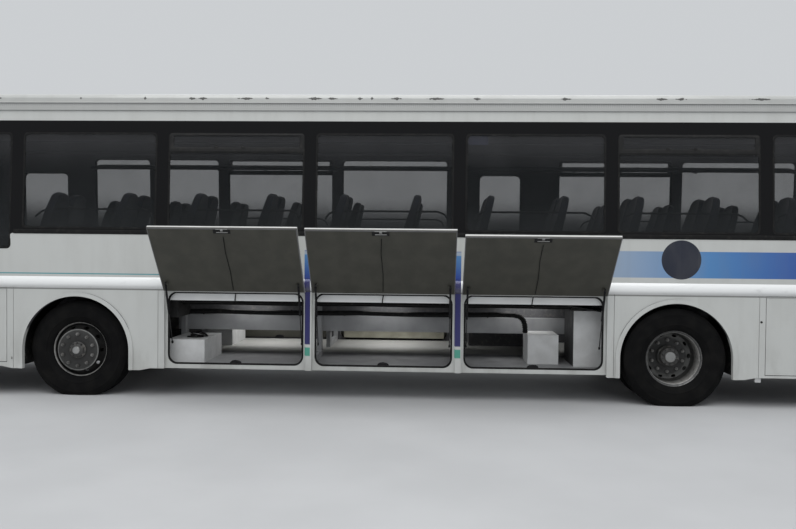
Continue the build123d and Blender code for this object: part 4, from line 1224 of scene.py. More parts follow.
@dataclass
class LockerFittings:
    """Hoses, cables, strut sockets and the small things that stand in the lockers."""

    strut_side: float = 0.69
    door_ball: Pair = (-1.193, 0.993)
    frame_ball: Pair = (-1.150, 0.580)
    runs: Tuple[Tuple[float, ...], ...] = (
        (-2.19, 1.56, -0.60, 0.868, 0.010, 0.028), (-2.19, 2.12, -0.93, 1.000, 0.008, 0.017),
        (-2.19, 2.12, -0.88, 0.972, 0.006, 0.008))
    bend: Tuple[Triple, ...] = ((1.55, -0.60, 0.862), (1.60, -0.605, 0.852), (1.640, -0.615, 0.820),
                                (1.658, -0.625, 0.770), (1.663, -0.635, 0.715), (1.663, -0.640, 0.672))
    clips: Tuple[float, ...] = (-1.95, -0.95, -0.35, 0.55, 1.25)

    @staticmethod
    def ring(name: str, centre: Sequence[float], along: Sequence[float], radius: float, thick: float) -> Shape:
        """A closed ring of round bar about a direction."""
        axis = Vector(along).normalized()
        first = axis.orthogonal().normalized()
        second = axis.cross(first)
        points = [Vector(centre) + first * radius * math.cos(turn) + second * radius * math.sin(turn)
                  for turn in turns(20)]
        return Shape.tube(name, points, thick, closed=True)

    @staticmethod
    def run(low: float, high: float, y: float, z: float, sag: float, radius: float) -> Shape:
        """A hose along the lockers that sags a little between its clips.

        Args:
            low: X of its front end.
            high: X of its rear end.
            y: its place across the coach.
            z: its height at the clips.
            sag: how far it hangs between them.
            radius: its radius.

        Returns:
            The hose.
        """
        places = [low + (high - low) * step / 36 for step in range(37)]
        points = [(x, y, z - sag * abs(math.sin(x * 2.02 + 0.4))) for x in places]
        return Shape.tube("hose", points, radius, fine=True)

    def hoses(self) -> None:
        """The long hoses and the ribbed elbow ahead of the rear boxes."""
        parts = [self.run(*run) for run in self.runs]
        parts.append(Shape.tube("bend", self.bend, 0.026, fine=True))
        for start, end in zip(self.bend, self.bend[1:]):
            for part in (0.2, 0.6):
                middle = Vector(start).lerp(Vector(end), part)
                parts.append(self.ring("rib", middle, Vector(end) - Vector(start), 0.028, 0.005))
        for x in self.clips:
            parts.append(self.ring("clip", (x, -0.60, 0.862), (1, 0, 0), 0.031, 0.004))
        piece("locker_hoses", parts, "rubber", "rubber_trim")

    def cables(self) -> None:
        """The ends of the door cables over the front beam, and the coil on the front box."""
        parts = []
        for x in LOCKERS:
            path = [(x, -1.190, 1.118), (x - 0.008, -1.187, 1.080), (x - 0.014, -1.184, 1.034),
                    (x - 0.012, -1.150, 1.006), (x + 0.03, -1.000, 0.990)]
            parts.append(Shape.tube("tail", path, 0.0055))
        for number, radius in enumerate((0.085, 0.070, 0.092, 0.060)):
            centre = (-1.965 + 0.015 * number, -0.86 + 0.02 * number, 0.608 + 0.011 * number)
            parts.append(self.ring("coil", centre, (0.1 * number, 0.05, 1.0), radius, 0.0065))
        piece("locker_cables", parts, "black_plastic", "rubber_trim")

    def sockets(self) -> None:
        """Round sockets over the balls of the struts."""
        profile = [(0.0046, -0.0075), (0.013, -0.0075), (0.0158, -0.005), (0.0158, 0.005), (0.013, 0.0075),
                   (0.0046, 0.0075)]
        for index, (x, angle) in enumerate(zip(LOCKERS, DOOR_ANGLES), 1):
            top = swing(angle) @ Vector((0.0, *self.door_ball))
            for part, y, z in (("barrels", top.y, top.z), ("rods", *self.frame_ball)):
                pair = [Shape.lathe("socket", profile, (x + side * self.strut_side, y, z), 24, Axis.X)
                        for side in (-1, 1)]
                body = f"strut_{part}_left_{index}"
                piece(f"strut_sockets_{part}_{index}", pair, "black_metal", "black_plastic", body)

    def loads(self) -> None:
        """The dark unit at the front, the slope over the rear box, and a pale strip on the far sill that is
        painted light on the far door's lining.
        """
        unit = Shape.box("locker_unit", (-2.197, -1.04, 0.83), (-2.095, -0.62, 1.085))
        unit.inset(0.012, 0.006, Way.REARWARD, Way.LEFT).bevel(0.006)
        slope = Shape.plate("slope", [(1.98, -1.10, 1.030), (2.395, -1.10, 0.960), (2.395, -0.42, 0.960),
                                      (1.98, -0.42, 1.030)], (0.0, 0.0, -0.010)).bevel(0.002)
        piece("locker_units", [unit, slope], "black_plastic", "black_plastic")
        # Painted light: a pale strip where light falls on the far door's lining.
        board = Shape.box("far_board", (-0.55, 1.150, 0.385), (0.80, 1.173, 0.474))
        board.inset(0.010, 0.004, Way.LEFT).bevel(0.003)
        board.fit("locker_lining", "board")

    def build(self) -> None:
        """Fits out the lockers."""
        self.hoses()
        self.cables()
        self.sockets()
        self.loads()


@dataclass
class Arches:
    """Black liners round the wheels, and the joints and small fixings of the skirts."""

    reach: float = 0.606
    grooves: Tuple[float, ...] = (-3.797, -2.247, 2.490, 3.951)
    front_flap: Triple = (-5.180, -3.870, 0.360)
    rear_flap: Triple = (4.022, 5.330, 0.343)
    screws: Tuple[Triple, ...] = ((-3.812, 0.390, 0.006), (-3.812, 0.405, 0.006), (3.974, 0.882, 0.012))

    def liner(self, axle: float, side: Side) -> Shape:
        """The splash panels before, behind and inside one wheel."""
        parts = []
        for way in (-1, 1):
            x = axle + way * self.reach
            low, high = sorted((x, x + way * 0.006))
            plate = Shape.box("flap", (low, 0.47, 0.315), (high, 1.205, 0.66))
            plate.inset(0.03, 0.002, Way.FORWARD, Way.REARWARD)
            parts.append(plate.bevel(0.001, 1))
        apron = Shape.box("apron", (axle - 0.60, 0.455, 0.32), (axle + 0.60, 0.463, 0.66))
        apron.inset(0.04, 0.002, Way.RIGHT)
        parts.append(apron.bevel(0.001, 1))
        shape = Shape.joined("liner", parts)
        return shape.moved(Matrix.Diagonal((1.0, side.value, 1.0, 1.0)))

    def joints(self, side: Side) -> List[Shape]:
        """Dark strips in the joints of one skirt."""
        strips = []
        spans = [self.front_flap, self.rear_flap] if side is Side.LEFT else [self.rear_flap]
        lines = [(x, x + 0.004, 0.33, 1.232) for x in self.grooves]
        for x0, x1, z0 in spans:
            lines += [(x0 - 0.0055, x0 - 0.0005, z0 - 0.005, 1.2115),
                      (x1 + 0.0005, x1 + 0.0055, z0 - 0.005, 1.2115)]
        for x0, x1, z0, outer in lines:
            low, high = sorted((side.value * outer, side.value * (outer + 0.004)))
            strips.append(Shape.box("joint", (x0, low, z0), (x1, high, 1.12)).bevel(0.0006, 1))
        return strips

    def fixings(self) -> None:
        """Screws, a plug and the drain on the left skirt."""
        parts = []
        for x, z, radius in self.screws:
            profile = [(0.0, 0.0), (radius, 0.0), (radius, -0.0015), (radius * 0.7, -0.003), (0.0, -0.003)]
            parts.append(Shape.lathe("screw", profile, (x, -1.2495, z), 16))
        piece("skirt_fixings", parts, "black_metal", "rubber_trim")
        drain = Shape.box("skirt_drain", (3.93, -1.225, 0.262), (3.99, -1.195, 0.312)).bevel(0.004)
        drain.fit("bright_trim", "rail_white")

    def build(self) -> None:
        """Builds the liners and joints of both sides."""
        liners = [self.liner(axle, side) for axle in AXLES.values() for side in Side]
        piece("arch_liners", liners, "black_plastic", "chassis_paint")
        for side in Side:
            piece(f"skirt_joints_{side.name.lower()}", self.joints(side), "black_plastic", "rubber_trim")
        self.fixings()


@dataclass
class Ends:
    """Seals, lamps, grille, wipers, louvres and mirrors of the two ends."""

    fronts: Tuple[Pair, ...] = (
        (0.290, -5.750), (0.620, -5.785), (1.267, -5.770), (1.722, -5.725), (2.913, -5.570))
    rears: Tuple[Pair, ...] = ((0.290, 6.165), (0.620, 6.205), (1.267, 6.205), (1.722, 6.200), (2.913, 6.150))
    flat: float = 0.11
    bow_r: float = 4.6
    corner_start: float = 0.983
    corner: Triple = (0.92, 0.33, 0.4075)
    rear_corner: Pair = (1.02, 0.23)
    screen: Tuple[float, ...] = (-1.11, 1.11, 1.33, 2.80)
    rear_window: Tuple[float, ...] = (-0.90, 0.90, 1.90, 2.75)
    head_lamp: Tuple[float, ...] = (0.64, 1.12, 0.64, 0.84)
    tail_lamp: Tuple[float, ...] = (0.96, 1.18, 0.76, 1.50)
    mirror_y: float = 1.33
    mirror_x: float = -5.7465

    @staticmethod
    def level(table: Points, z: float) -> float:
        """X of an end's middle at a height."""
        for (z0, x0), (z1, x1) in zip(table, table[1:]):
            if z <= z1:
                return x0 + (x1 - x0) * max(0.0, z - z0) / (z1 - z0)
        return table[-1][1]

    def front(self, y: float, z: float, proud: float = 0.0) -> Triple:
        """A point on the bowed front, standing proud of it."""
        nose, across = self.level(self.fronts, z), abs(y)
        middle, radius, depth = self.corner
        if across <= self.flat:
            back = 0.0
        elif across < self.corner_start:
            back = self.bow_r - math.sqrt(self.bow_r ** 2 - (across - self.flat) ** 2)
        else:
            back = depth - math.sqrt(max(0.0, radius ** 2 - (across - middle) ** 2))
        return (nose + back - proud, y, z)

    def rear(self, y: float, z: float, proud: float = 0.0) -> Triple:
        """A point on the rear, standing proud of it."""
        tail, across = self.level(self.rears, z), abs(y)
        middle, radius = self.rear_corner
        if across > middle:
            tail -= radius - math.sqrt(max(0.0, radius ** 2 - (across - middle) ** 2))
        return (tail + proud, y, z)

    @staticmethod
    def outline(y0: float, y1: float, z0: float, z1: float, radius: float) -> List[Pair]:
        """A rounded rectangle in Y and Z with points along its long edges too."""
        corners = rounded_outline((y0, y1, z0, z1), radius, 6)
        points = []
        for (ya, za), (yb, zb) in zip(corners, corners[1:] + corners[:1]):
            count = max(1, int(max(abs(yb - ya), abs(zb - za)) / 0.12))
            points += [(ya + (yb - ya) * k / count, za + (zb - za) * k / count) for k in range(count)]
        return points

    def bead(self, place: Callable, box: Sequence[float], radius: float, proud: float, thick: float,
             side: Side = Side.RIGHT) -> Shape:
        """A rubber bead round a rounded opening of an end.

        Args:
            place: the method that puts a point on the end.
            box: low Y, high Y, low Z and high Z of the opening on the right side.
            radius: radius of its corners.
            proud: how far the bead's middle stands proud of the end.
            thick: the bead's own radius.
            side: which side of the coach it is on.

        Returns:
            The bead.
        """
        low, high = sorted((side.value * box[0], side.value * box[1]))
        points = [place(y, z, proud) for y, z in self.outline(low, high, box[2], box[3], radius)]
        return Shape.tube("bead", points, thick, closed=True)

    def seals(self) -> None:
        """Rubber round the windscreen, the rear window and the lamps."""
        parts = [self.bead(self.front, self.screen, 0.12, 0.001, 0.013),
                 self.bead(self.rear, self.rear_window, 0.12, 0.0, 0.012)]
        for side in Side:
            parts.append(self.bead(self.front, self.head_lamp, 0.04, 0.001, 0.006, side))
            parts.append(self.bead(self.rear, self.tail_lamp, 0.04, -0.004, 0.006, side))
        piece("end_seals", parts, "rubber", "rubber_trim")

    def grille(self) -> None:
        """Bars across the front between the lamps, and the joints round the bumper."""
        bars = []
        for step in range(5):
            z = 0.665 + 0.038 * step
            points = [self.front(-0.56 + 0.08 * k, z, 0.003) for k in range(15)]
            bars.append(Shape.tube("bar", points, 0.0075))
        for z in (0.600, 1.010):
            points = [self.front(-1.20 + 0.08 * k, z, -0.001) for k in range(31)]
            bars.append(Shape.tube("joint", points, 0.0035))
        for y in (-0.595, 0.595):
            bars.append(Shape.tube("end", [self.front(y, 0.60 + 0.04 * k, -0.001) for k in range(7)], 0.0035))
        piece("front_grille", bars, "black_plastic", "rubber_trim")

    def wipers(self) -> None:
        """Two parked wipers with their arms and pivots."""
        parts = []
        for base, start, end in ((-0.92, -0.90, -0.06), (-0.02, 0.02, 0.86)):
            count = 10
            blade = [self.front(start + (end - start) * k / count, 1.400 + 0.03 * k / count, 0.022)
                     for k in range(count + 1)]
            parts.append(Shape.tube("blade", blade, 0.007))
            middle = (start + end) / 2
            arm = [self.front(base, 1.300, 0.020), self.front(base + 0.06, 1.330, 0.036),
                   self.front((base + middle) / 2, 1.375, 0.040), self.front(middle, 1.417, 0.034)]
            parts.append(Shape.tube("arm", arm, 0.008))
            x, y, z = self.front(base, 1.300)
            pivot = [(0.0, -0.030), (0.020, -0.030), (0.022, -0.008), (0.028, 0.0), (0.0, 0.0)]
            parts.append(Shape.lathe("pivot", pivot, (x, y, z), 20, Axis.X))
        piece("wipers", parts, "black_metal", "black_plastic")

    def lamps(self) -> None:
        """Two round reflector rings with their bulb shields on each head lamp."""
        rings, shields = [], []
        for side in Side:
            for across in (0.755, 0.925):
                x, y, z = self.front(side.value * across, 0.74, 0.003)
                ring = [(0.058, -0.001), (0.068, -0.001), (0.070, 0.003), (0.056, 0.003)]
                rings.append(Shape.lathe("ring", ring, (x, y, z), 40, Axis.X))
                shield = [(0.0, -0.002), (0.022, -0.002), (0.024, 0.003), (0.0, 0.003)]
                shields.append(Shape.lathe("shield", shield, (x, y, z), 24, Axis.X))
        piece("lamp_rings", rings, "bright_trim", "aluminium")
        piece("lamp_shields", shields, "black_plastic", "grey_plastic")

    def louvres(self) -> None:
        """Dark slots and two latches on the engine door."""
        slots = []
        for step in range(8):
            z = 0.705 + 0.052 * step
            slot = Shape.box("slot", (6.199, -0.56, z), (6.2065, 0.56, z + 0.024))
            slots.append(slot.inset(0.004, 0.001, Way.REARWARD).bevel(0.0008, 1))
        for y in (-0.52, 0.52):
            latch = [(0.0, -0.004), (0.022, -0.004), (0.022, 0.001), (0.016, 0.0022), (0.0, 0.0022)]
            slots.append(Shape.lathe("latch", latch, (6.205, y, 0.645), 24, Axis.X))
        piece("engine_louvres", slots, "black_plastic", "rubber_trim", "engine_door")

    def mirrors(self) -> None:
        """The mirror glasses and their small wide-angle ones."""
        glasses = []
        for side in Side:
            for low, high in ((2.345, 2.625), (2.250, 2.330)):
                outline = rounded_outline((self.mirror_y - 0.095, self.mirror_y + 0.095, low, high), 0.025)
                points = [(self.mirror_x, side.value * y, z) for y, z in outline]
                glasses.append(Shape.plate("glass", points, (0.003, 0.0, 0.0)).bevel(0.001, 1))
        piece("mirror_glasses", glasses, "glass", "mirror_painted_reflection")

    def build(self) -> None:
        """Dresses both ends."""
        self.seals()
        self.grille()
        self.wipers()
        self.lamps()
        self.louvres()
        self.mirrors()


@dataclass
class PassengerDoors:
    """Seals, handles and kick strips of the two doors on the right side."""

    spans: Tuple[Pair, ...] = ((-5.12, -4.24), (1.12, 1.94))
    sill: float = 0.345
    head: float = 2.69
    light: Pair = (1.322, 2.598)

    def build(self) -> None:
        """Dresses both doors."""
        seals, handles = [], []
        for x0, x1 in self.spans:
            mouth = (x0, x1, self.sill, self.head)
            light = (x0 + 0.122, x1 - 0.122, *self.light)
            outlines = [rounded_outline(mouth, 0.062, 8, 0.006), rounded_outline(mouth, 0.052, 8, -0.012),
                        rounded_outline(light, 0.075, 8), rounded_outline(light, 0.062, 8, -0.020)]
            for outer, inner in zip(outlines[::2], outlines[1::2]):
                seals.append(side_ring("seal", outer, inner, 0.003, 0.006, Side.RIGHT))
            low = rounded_outline((x0 + 0.03, x1 - 0.03, self.sill + 0.02, self.sill + 0.075), 0.01, 2)
            seals.append(side_panel("kick", low, 0.004, 0.004, Side.RIGHT))
            grip = ((1.2500, 0.90), (1.2850, 0.93), (1.2850, 1.07), (1.2500, 1.10))
            handles.append(Shape.tube("grip", [(x1 - 0.075, y, z) for y, z in grip], 0.009))
        piece("passenger_door_seals", seals, "rubber", "rubber_trim")
        piece("passenger_door_grips", handles, "black_metal", "black_plastic")


@dataclass(frozen=True)
class RimLines:
    """What one end's rims are turned from, as (radius, height) with the outside at the top.

    Attributes:
        disc: the disc's line between the two edges of the barrel.
        hub: the hub's line.
        cap: the cap's line.
        holes: circle radius, half sizes and heights of the hand holes.
        nuts: circle radius, foot height and radius of the wheel nuts.
        bolts: the same of the hub's bolts.
    """

    disc: Tuple[Pair, ...]
    hub: Tuple[Pair, ...]
    cap: Tuple[Pair, ...]
    holes: Tuple[float, Pair, Pair]
    nuts: Triple
    bolts: Triple


RIMS = {
    End.FRONT: RimLines(
        disc=((0.262, -0.080), (0.258, 0.030), (0.250, 0.052), (0.235, 0.075), (0.212, 0.132), (0.196, 0.141),
              (0.130, 0.143), (0.085, 0.143), (0.085, 0.157), (0.130, 0.157), (0.200, 0.156), (0.221, 0.149),
              (0.247, 0.090), (0.263, 0.066), (0.272, 0.062)),
        hub=((0.0, 0.150), (0.088, 0.150), (0.088, 0.163), (0.080, 0.168), (0.068, 0.170), (0.066, 0.182),
             (0.058, 0.188), (0.0, 0.190)),
        cap=((0.0, 0.186), (0.040, 0.186), (0.040, 0.198), (0.036, 0.2035), (0.020, 0.2055), (0.0, 0.206)),
        holes=(0.2365, (0.024, 0.0135), (0.05, 0.20)), nuts=(0.1675, 0.1555, 0.0185),
        bolts=(0.077, 0.166, 0.0065)),
    End.REAR: RimLines(
        disc=((0.262, -0.085), (0.257, -0.118), (0.244, -0.140), (0.150, -0.150), (0.100, -0.151),
              (0.100, -0.137), (0.200, -0.1365), (0.240, -0.122), (0.262, -0.045), (0.266, 0.075)),
        hub=((0.0, -0.145), (0.112, -0.145), (0.112, -0.100), (0.100, -0.092), (0.098, -0.040),
             (0.092, -0.028), (0.0, -0.026)),
        cap=((0.0, -0.030), (0.058, -0.030), (0.058, -0.016), (0.052, -0.010), (0.0, -0.006)),
        holes=(0.2230, (0.026, 0.0145), (-0.20, -0.08)), nuts=(0.1675, -0.138, 0.0185),
        bolts=(0.080, -0.032, 0.007)),
}


@dataclass
class Wheel:
    """One wheel position: a rim with hand holes and nuts, and a moulded tyre.

    Attributes:
        end: which end of the coach.
        side: which side of the coach.
    """

    end: End
    side: Side
    rim_r: float = 0.2857
    rim_half: float = 0.108
    flange_r: float = 0.2985
    tyre_r: float = 0.522
    half_w: float = 0.147
    twin_pitch: float = 0.336
    holes_count: int = 10
    track: Dict[End, float] = field(default_factory=lambda: {End.FRONT: 1.040, End.REAR: 1.078})

    @property
    def body(self) -> str:
        """The body that this wheel is."""
        return f"wheel_{self.word}"

    @property
    def word(self) -> str:
        """The end and the side in the names of its pieces."""
        return f"{self.end.value}_{self.side.name.lower()}"

    def place(self) -> Matrix:
        """From the wheel's own frame, outside towards +Y, to the coach."""
        turn = Matrix.Diagonal((1.0, self.side.value, 1.0, 1.0))
        return Matrix.Translation((AXLES[self.end], self.side.value * self.track[self.end], AXLE_Z)) @ turn

    def tyre(self, middle: float) -> Shape:
        """A tyre with ribs, grooves and wall rings about the wheel's own axis."""
        bore, crown, wide = self.rim_r + 0.0015, self.tyre_r - 0.0005, self.half_w - 0.001
        half = [(bore, 0.100), (0.306, 0.118), (0.330, 0.129), (0.352, 0.1385), (0.3535, 0.1405),
                (0.360, 0.1405), (0.3615, 0.139), (0.395, 0.1448), (0.430, wide), (0.452, 0.1455),
                (0.4535, 0.1462), (0.458, 0.1455), (0.4595, 0.1435), (0.478, 0.139), (0.496, 0.1305),
                (0.510, 0.121), (crown - 0.003, 0.116)]
        tread = []
        for groove in (0.092, 0.047):
            tread += [(crown - 0.001, groove + 0.006), (crown - 0.015, groove + 0.0045),
                      (crown - 0.015, groove - 0.0045), (crown, groove - 0.006)]
        rising = half + tread
        profile = rising + [(crown, 0.006), (crown - 0.014, 0.0045), (crown - 0.014, -0.0045), (crown, -0.006)]
        profile += [(r, -h) for r, h in reversed(rising)]
        points = [(r, h + middle) for r, h in profile]
        return Shape.lathe("tyre", points, steps=96)

    def holes(self, radius: float, size: Pair, depth: Pair) -> Shape:
        """Oval cutters for the hand holes."""
        cutters = []
        for turn in turns(self.holes_count):
            points = [(math.cos(a) * size[0], depth[0], math.sin(a) * size[1] + radius) for a in turns(20)]
            cutter = Shape.plate("cutter", points, (0.0, depth[1] - depth[0], 0.0))
            between = turn + math.pi / self.holes_count
            cutters.append(cutter.moved(Matrix.Rotation(between, 4, "Y")))
        return Shape.joined("cutters", cutters)

    def cut(self, shape: Shape, cutters: Shape) -> Shape:
        """Cuts the cutters out of a shape and removes them."""
        shape.modifier("BOOLEAN", object=cutters.obj, operation="DIFFERENCE", solver="EXACT")
        bpy.data.objects.remove(cutters.obj)
        return shape

    def nuts(self, circle: float, foot: float, size: float) -> Shape:
        """Nuts with their studs on a circle."""
        line = [(0.0, foot), (size, foot), (size, foot + 0.019), (size * 0.9, foot + 0.022),
                (size * 0.52, foot + 0.022), (size * 0.52, foot + 0.036), (size * 0.44, foot + 0.039),
                (0.0, foot + 0.039)]
        nut = Shape.lathe("nut", line, steps=6)
        out = Matrix.Translation((0.0, 0.0, circle))
        copies = [nut.copy(Matrix.Rotation(turn, 4, "Y") @ out) for turn in turns(self.holes_count)]
        bpy.data.objects.remove(nut.obj)
        return Shape.joined("nuts", copies)

    def barrel(self, shift: float = 0.0) -> List[Pair]:
        """The rim barrel's outer line between its flanges."""
        low, high = shift - self.rim_half, shift + self.rim_half
        return [(self.flange_r - 0.020, high - 0.020), (self.flange_r - 0.006, high - 0.004),
                (self.flange_r, high), (self.flange_r + 0.002, high - 0.006),
                (self.flange_r - 0.003, high - 0.012), (self.rim_r, high - 0.018), (self.rim_r, low + 0.018),
                (self.flange_r, low + 0.002), (self.flange_r - 0.006, low)]

    def rim(self) -> Dict[str, Shape]:
        """The disc with its hand holes, the hub, the nuts and the cap, and the rear's inner barrel."""
        lines = RIMS[self.end]
        disc = Shape.lathe("disc", self.barrel() + list(lines.disc), steps=96)
        self.cut(disc, self.holes(*lines.holes))
        if self.end is End.REAR:
            back = -self.twin_pitch
            inner = self.barrel(back) + [(0.250, back - 0.09), (0.262, back + 0.08)]
            disc = Shape.joined("disc", [disc, Shape.lathe("second", inner, steps=64)])
        hub = Shape.joined("hub", [Shape.lathe("hub", lines.hub, steps=48), self.nuts(*lines.bolts)])
        cap = Shape.lathe("cap", lines.cap, steps=40)
        return {"disc": disc, "hub": hub, "nuts": self.nuts(*lines.nuts), "cap": cap}

    def build(self) -> None:
        """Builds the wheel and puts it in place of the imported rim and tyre."""
        looks = {"disc": f"rim_{self.end.value}", "hub": "cast_metal", "nuts": "worn_steel",
                 "cap": "bare_steel"}
        for part, shape in self.rim().items():
            shape.obj.name = f"wheel_{part}_{self.word}"
            obj = shape.moved(self.place()).fit("rim_paint", looks[part], self.body)
            if part == "disc":
                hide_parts(f"rim_{self.word}")
        middles = (0.0,) if self.end is End.FRONT else (0.0, -self.twin_pitch)
        tyres = Shape.joined(f"tyre_tread_{self.word}", [self.tyre(middle) for middle in middles])
        obj = tyres.moved(self.place()).fit("tyre", "tyre_rubber", self.body)
        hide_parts(f"tyre_{self.word}")


@dataclass
class Saloon:
    """Double seats on both platforms and the driver's seat."""

    pitch: float = 0.7775
    width: float = 0.825
    aisle: float = 0.335
    base: float = 1.130
    middle_door: Pair = (1.11, 1.96)
    first_row: float = -4.05
    back_height: float = 0.690
    driver_place: Triple = (-4.78, -0.88, 0.890)
    driver_width: float = 0.52

    def rows(self) -> List[Triple]:
        """Front edge, inner Y and floor height of every seat place."""
        places = []
        half = self.width / 2
        for step in range(12):
            x = self.first_row + self.pitch * step
            for inner in (-self.aisle - self.width, -self.aisle - half):
                places.append((x, inner, self.base))
            if x + 0.64 < self.middle_door[0] or x > self.middle_door[1]:
                for inner in (self.aisle, self.aisle + half):
                    places.append((x, inner, self.base))
        return places

    def cushion(self, width: float) -> Shape:
        """One seat's cushion, its front edge at X = 0, from Y = 0 to its width."""
        pad = Shape.box("cushion", (0.012, 0.012, 0.315), (0.455, width - 0.012, 0.432))
        pad.tool(bpy.ops.mesh.subdivide, number_cuts=3)
        for vertex in pad.obj.data.vertices:
            u, v = vertex.co.x / 0.47, (vertex.co.y - width / 2) / (width / 2)
            if vertex.co.z > 0.40:
                vertex.co.z += 0.010 * (abs(v) ** 2) - 0.010 * (1 - abs(v)) - 0.015 * u
        return pad.smooth(2)

    def back(self, width: float) -> Shape:
        """One seat's back with its shaped head pad."""
        pad = Shape.box("back", (0.0, 0.014, 0.0), (0.085, width - 0.014, self.back_height))
        pad.tool(bpy.ops.mesh.subdivide, number_cuts=5)
        middle = width / 2
        for vertex in pad.obj.data.vertices:
            share = vertex.co.z / self.back_height
            across = (vertex.co.y - middle) / middle
            narrow = 1.0 - 0.34 * max(0.0, (share - 0.62) / 0.38) ** 1.4
            vertex.co.y = middle + across * middle * narrow
            if vertex.co.x < 0.03:
                bow = math.sin(min(1.0, share * 1.25) * math.pi)
                vertex.co.x += 0.020 * (1 - across * across) - 0.018 * bow
            vertex.co.z -= 0.035 * across * across * max(0.0, share - 0.7) / 0.3
        pad.smooth(2)
        lean = Matrix.Rotation(math.radians(13.5), 4, "Y")
        return pad.moved(Matrix.Translation((0.425, 0.0, 0.380)) @ lean)

    def pads(self) -> None:
        """All cushions and backs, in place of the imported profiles."""
        seat_w = self.width / 2
        master = Shape.joined("pad_master", [self.cushion(seat_w), self.back(seat_w)])
        copies = [master.copy(Matrix.Translation(place)) for place in self.rows()]
        wider = Matrix.Diagonal((1.0, self.driver_width / seat_w, 1.0, 1.0))
        copies.append(master.copy(Matrix.Translation(self.driver_place) @ wider))
        bpy.data.objects.remove(master.obj)
        pads = Shape.joined("seat_pads", copies)
        obj = pads.fit("seat_fabric", "seat_cloth", smooth_angle=60.0)
        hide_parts("seats")

    def frames(self) -> None:
        """Legs, pans, grips and arms of the double seats, and the driver's stand."""
        frames = []
        for x, y, z in self.rows()[::2]:
            far = y + self.width
            leg = Shape.box("leg", (x + 0.13, y + 0.10, z), (x + 0.33, y + 0.15, z + 0.31)).bevel(0.008)
            frames += [leg, leg.copy(Matrix.Translation((0.0, self.width - 0.25, 0.0)))]
            pan = Shape.box("pan", (x + 0.03, y + 0.02, z + 0.29), (x + 0.46, far - 0.02, z + 0.317))
            frames.append(pan.bevel(0.006))
            grip = [(x + 0.585, y + 0.10, z + 0.78), (x + 0.615, y + 0.13, z + 0.90),
                    (x + 0.615, far - 0.13, z + 0.90), (x + 0.585, far - 0.10, z + 0.78)]
            frames.append(Shape.tube("grip", grip, 0.010))
            for edge in (y, far - 0.035):
                arm = Shape.box("arm", (x + 0.10, edge, z + 0.545), (x + 0.47, edge + 0.035, z + 0.580))
                frames.append(arm.bevel(0.012))
        frames.append(Shape.box("stand", (-4.76, -0.77, 0.86), (-4.42, -0.47, 1.205)).bevel(0.01))
        piece("seat_frames", frames, "seat_fabric", "grey_plastic")

    def build(self) -> None:
        """Builds the seats."""
        self.pads()
        self.frames()


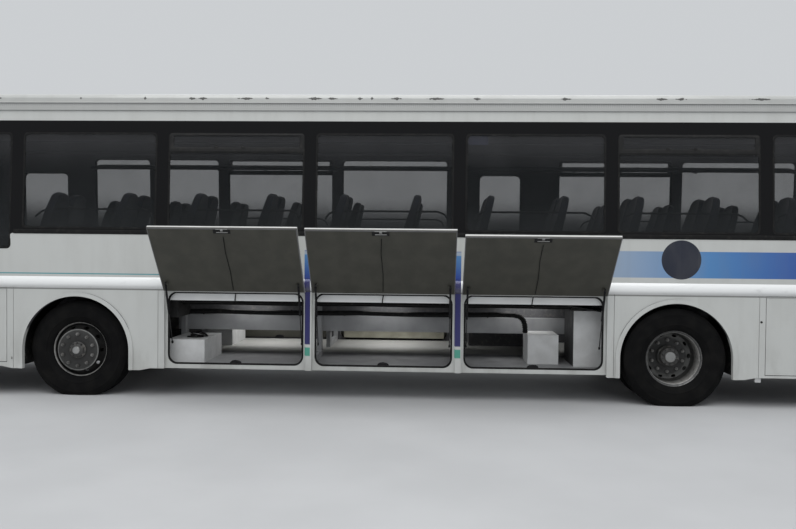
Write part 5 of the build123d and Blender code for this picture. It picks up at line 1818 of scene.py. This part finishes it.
@dataclass
class Inside:
    """Parcel racks, grab rails, the steering wheel, the instruments and the blue film on a pane."""

    wheel_place: Triple = (-5.020, -0.620, 1.440)
    wheel_tilt: float = 28.0
    wheel_r: float = 0.225
    rack: Pair = (-3.90, 5.30)
    rack_brackets: Tuple[float, ...] = (-3.900, -2.211, -0.656, 0.899, 2.454, 4.009, 5.280)
    rail_spans: Tuple[Pair, ...] = (
        (-3.60, -2.35), (-2.05, -0.78), (-0.50, 0.78), (1.05, 2.30), (2.60, 3.86), (4.15, 5.25))
    rail_wall: float = 1.165
    rail_y: float = 1.105
    film_box: Tuple[float, ...] = (0.986, 1.186, 2.675, 2.772)

    def steering(self) -> None:
        """A round rim, two spokes and the hub pad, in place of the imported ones."""
        circle = [(self.wheel_r + 0.012 * math.cos(turn), 0.012 * math.sin(turn)) for turn in turns(12)]
        rim = Shape.lathe("rim", circle, steps=56, axis=Axis.Z)
        hub = Shape.lathe("hub", [(0.0, -0.120), (0.036, -0.120), (0.044, -0.040), (0.066, -0.022),
                                  (0.066, -0.004), (0.052, 0.006), (0.0, 0.008)], steps=40, axis=Axis.Z)
        spoke = Shape.box("spoke", (-0.216, -0.018, -0.010), (0.216, 0.018, 0.004)).bevel(0.005)
        place = Matrix.Translation(self.wheel_place) @ Matrix.Rotation(math.radians(self.wheel_tilt), 4, "Y")
        shape = Shape.joined("steering_rim", [rim, hub, spoke]).moved(place)
        obj = shape.fit("black_plastic", "black_plastic", "steering_wheel")
        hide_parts("steering_wheel")

    def racks(self) -> None:
        """Open shelves with a rounded lip, brackets and a light strip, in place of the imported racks."""
        low, high = self.rack
        shelf = Shape.plate("shelf", [(low, -1.130, 2.686), (high, -1.130, 2.686), (high, -0.838, 2.616),
                                      (low, -0.838, 2.616)], (0.0, 0.0, 0.012))
        lip = Shape.box("lip", (low, -0.842, 2.606), (high, -0.818, 2.646)).bevel(0.009, 3)
        strip = Shape.box("strip", (low + 0.05, -0.905, 2.611), (high - 0.05, -0.880, 2.622)).bevel(0.003)
        parts = [shelf, lip, strip]
        for x in self.rack_brackets:
            web = [(x, -1.140, 2.642), (x, -0.90, 2.596), (x, -0.845, 2.612), (x, -1.140, 2.690)]
            parts.append(Shape.plate("bracket", web, (0.020, 0.0, 0.0)).bevel(0.002))
        left = Shape.joined("rack_left", parts)
        both = Shape.joined("rack_shelves", [left, left.mirrored()])
        obj = both.fit("seat_fabric", "dark_fabric")
        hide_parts("parcel_racks")

    def rails(self) -> None:
        """Grab rails along both sides, but none over the middle door."""
        parts = []
        for side in Side:
            wall, y = side.value * self.rail_wall, side.value * self.rail_y
            for x0, x1 in self.rail_spans:
                if side is Side.RIGHT and 0.9 < x0 < 2.0:
                    continue
                path = [(x0, wall, 1.90), (x0 + 0.03, y, 1.955), (x0 + 0.10, y, 1.985),
                        (x1 - 0.10, y, 1.985), (x1 - 0.03, y, 1.955), (x1, wall, 1.90)]
                parts.append(Shape.tube("rail", path, 0.011))
        piece("grab_rails", parts, "black_metal", "dark_steel")

    def dials(self) -> None:
        """Two instruments and a row of switches on the dashboard."""
        lean = Matrix.Translation((-5.245, -0.62, 1.325)) @ Matrix.Rotation(math.radians(-64.0), 4, "Y")
        parts = []
        for y in (-0.085, 0.085):
            bezel = [(0.0, 0.0), (0.052, 0.0), (0.060, 0.004), (0.060, 0.012), (0.052, 0.012), (0.050, 0.005),
                     (0.0, 0.005)]
            parts.append(Shape.lathe("dial", bezel, (0.0, y, 0.0), 32, Axis.Z))
        for step in range(9):
            y = -0.30 + 0.05 * step + (0.25 if step > 4 else 0.0)
            parts.append(Shape.box("switch", (-0.014, y - 0.009, 0.0), (0.014, y + 0.009, 0.009)).bevel(0.003))
        Shape.joined("instruments", parts).moved(lean).fit("black_plastic", "grey_plastic")

    def film(self) -> None:
        """The plain blue film inside one pane."""
        panel = side_panel("pane_film", rounded_outline(self.film_box, 0.006, 2), -0.0105, 0.0012, Side.LEFT)
        panel.bevel(0.0003, 1).fit("glass", "sticker_blue")

    def build(self) -> None:
        """Dresses the inside."""
        self.steering()
        self.racks()
        self.rails()
        self.dials()
        self.film()


def main() -> None:
    """Builds the scene in order and reports each sub-assembly."""
    logging.basicConfig(level=logging.INFO, format="%(name)s: %(message)s")
    for finish in FINISHES:
        finish.build()
    wheels = [Wheel(end, side) for end in End for side in Side]
    for assembly in (Studio(), CadFinishes(), Windows(), LockerDoors(), LockerMouths(), LockerFittings(),
                     Arches(), Ends(), PassengerDoors(), *wheels, Saloon(), Inside()):
        assembly.build()


if __name__ == "__main__":
    main()
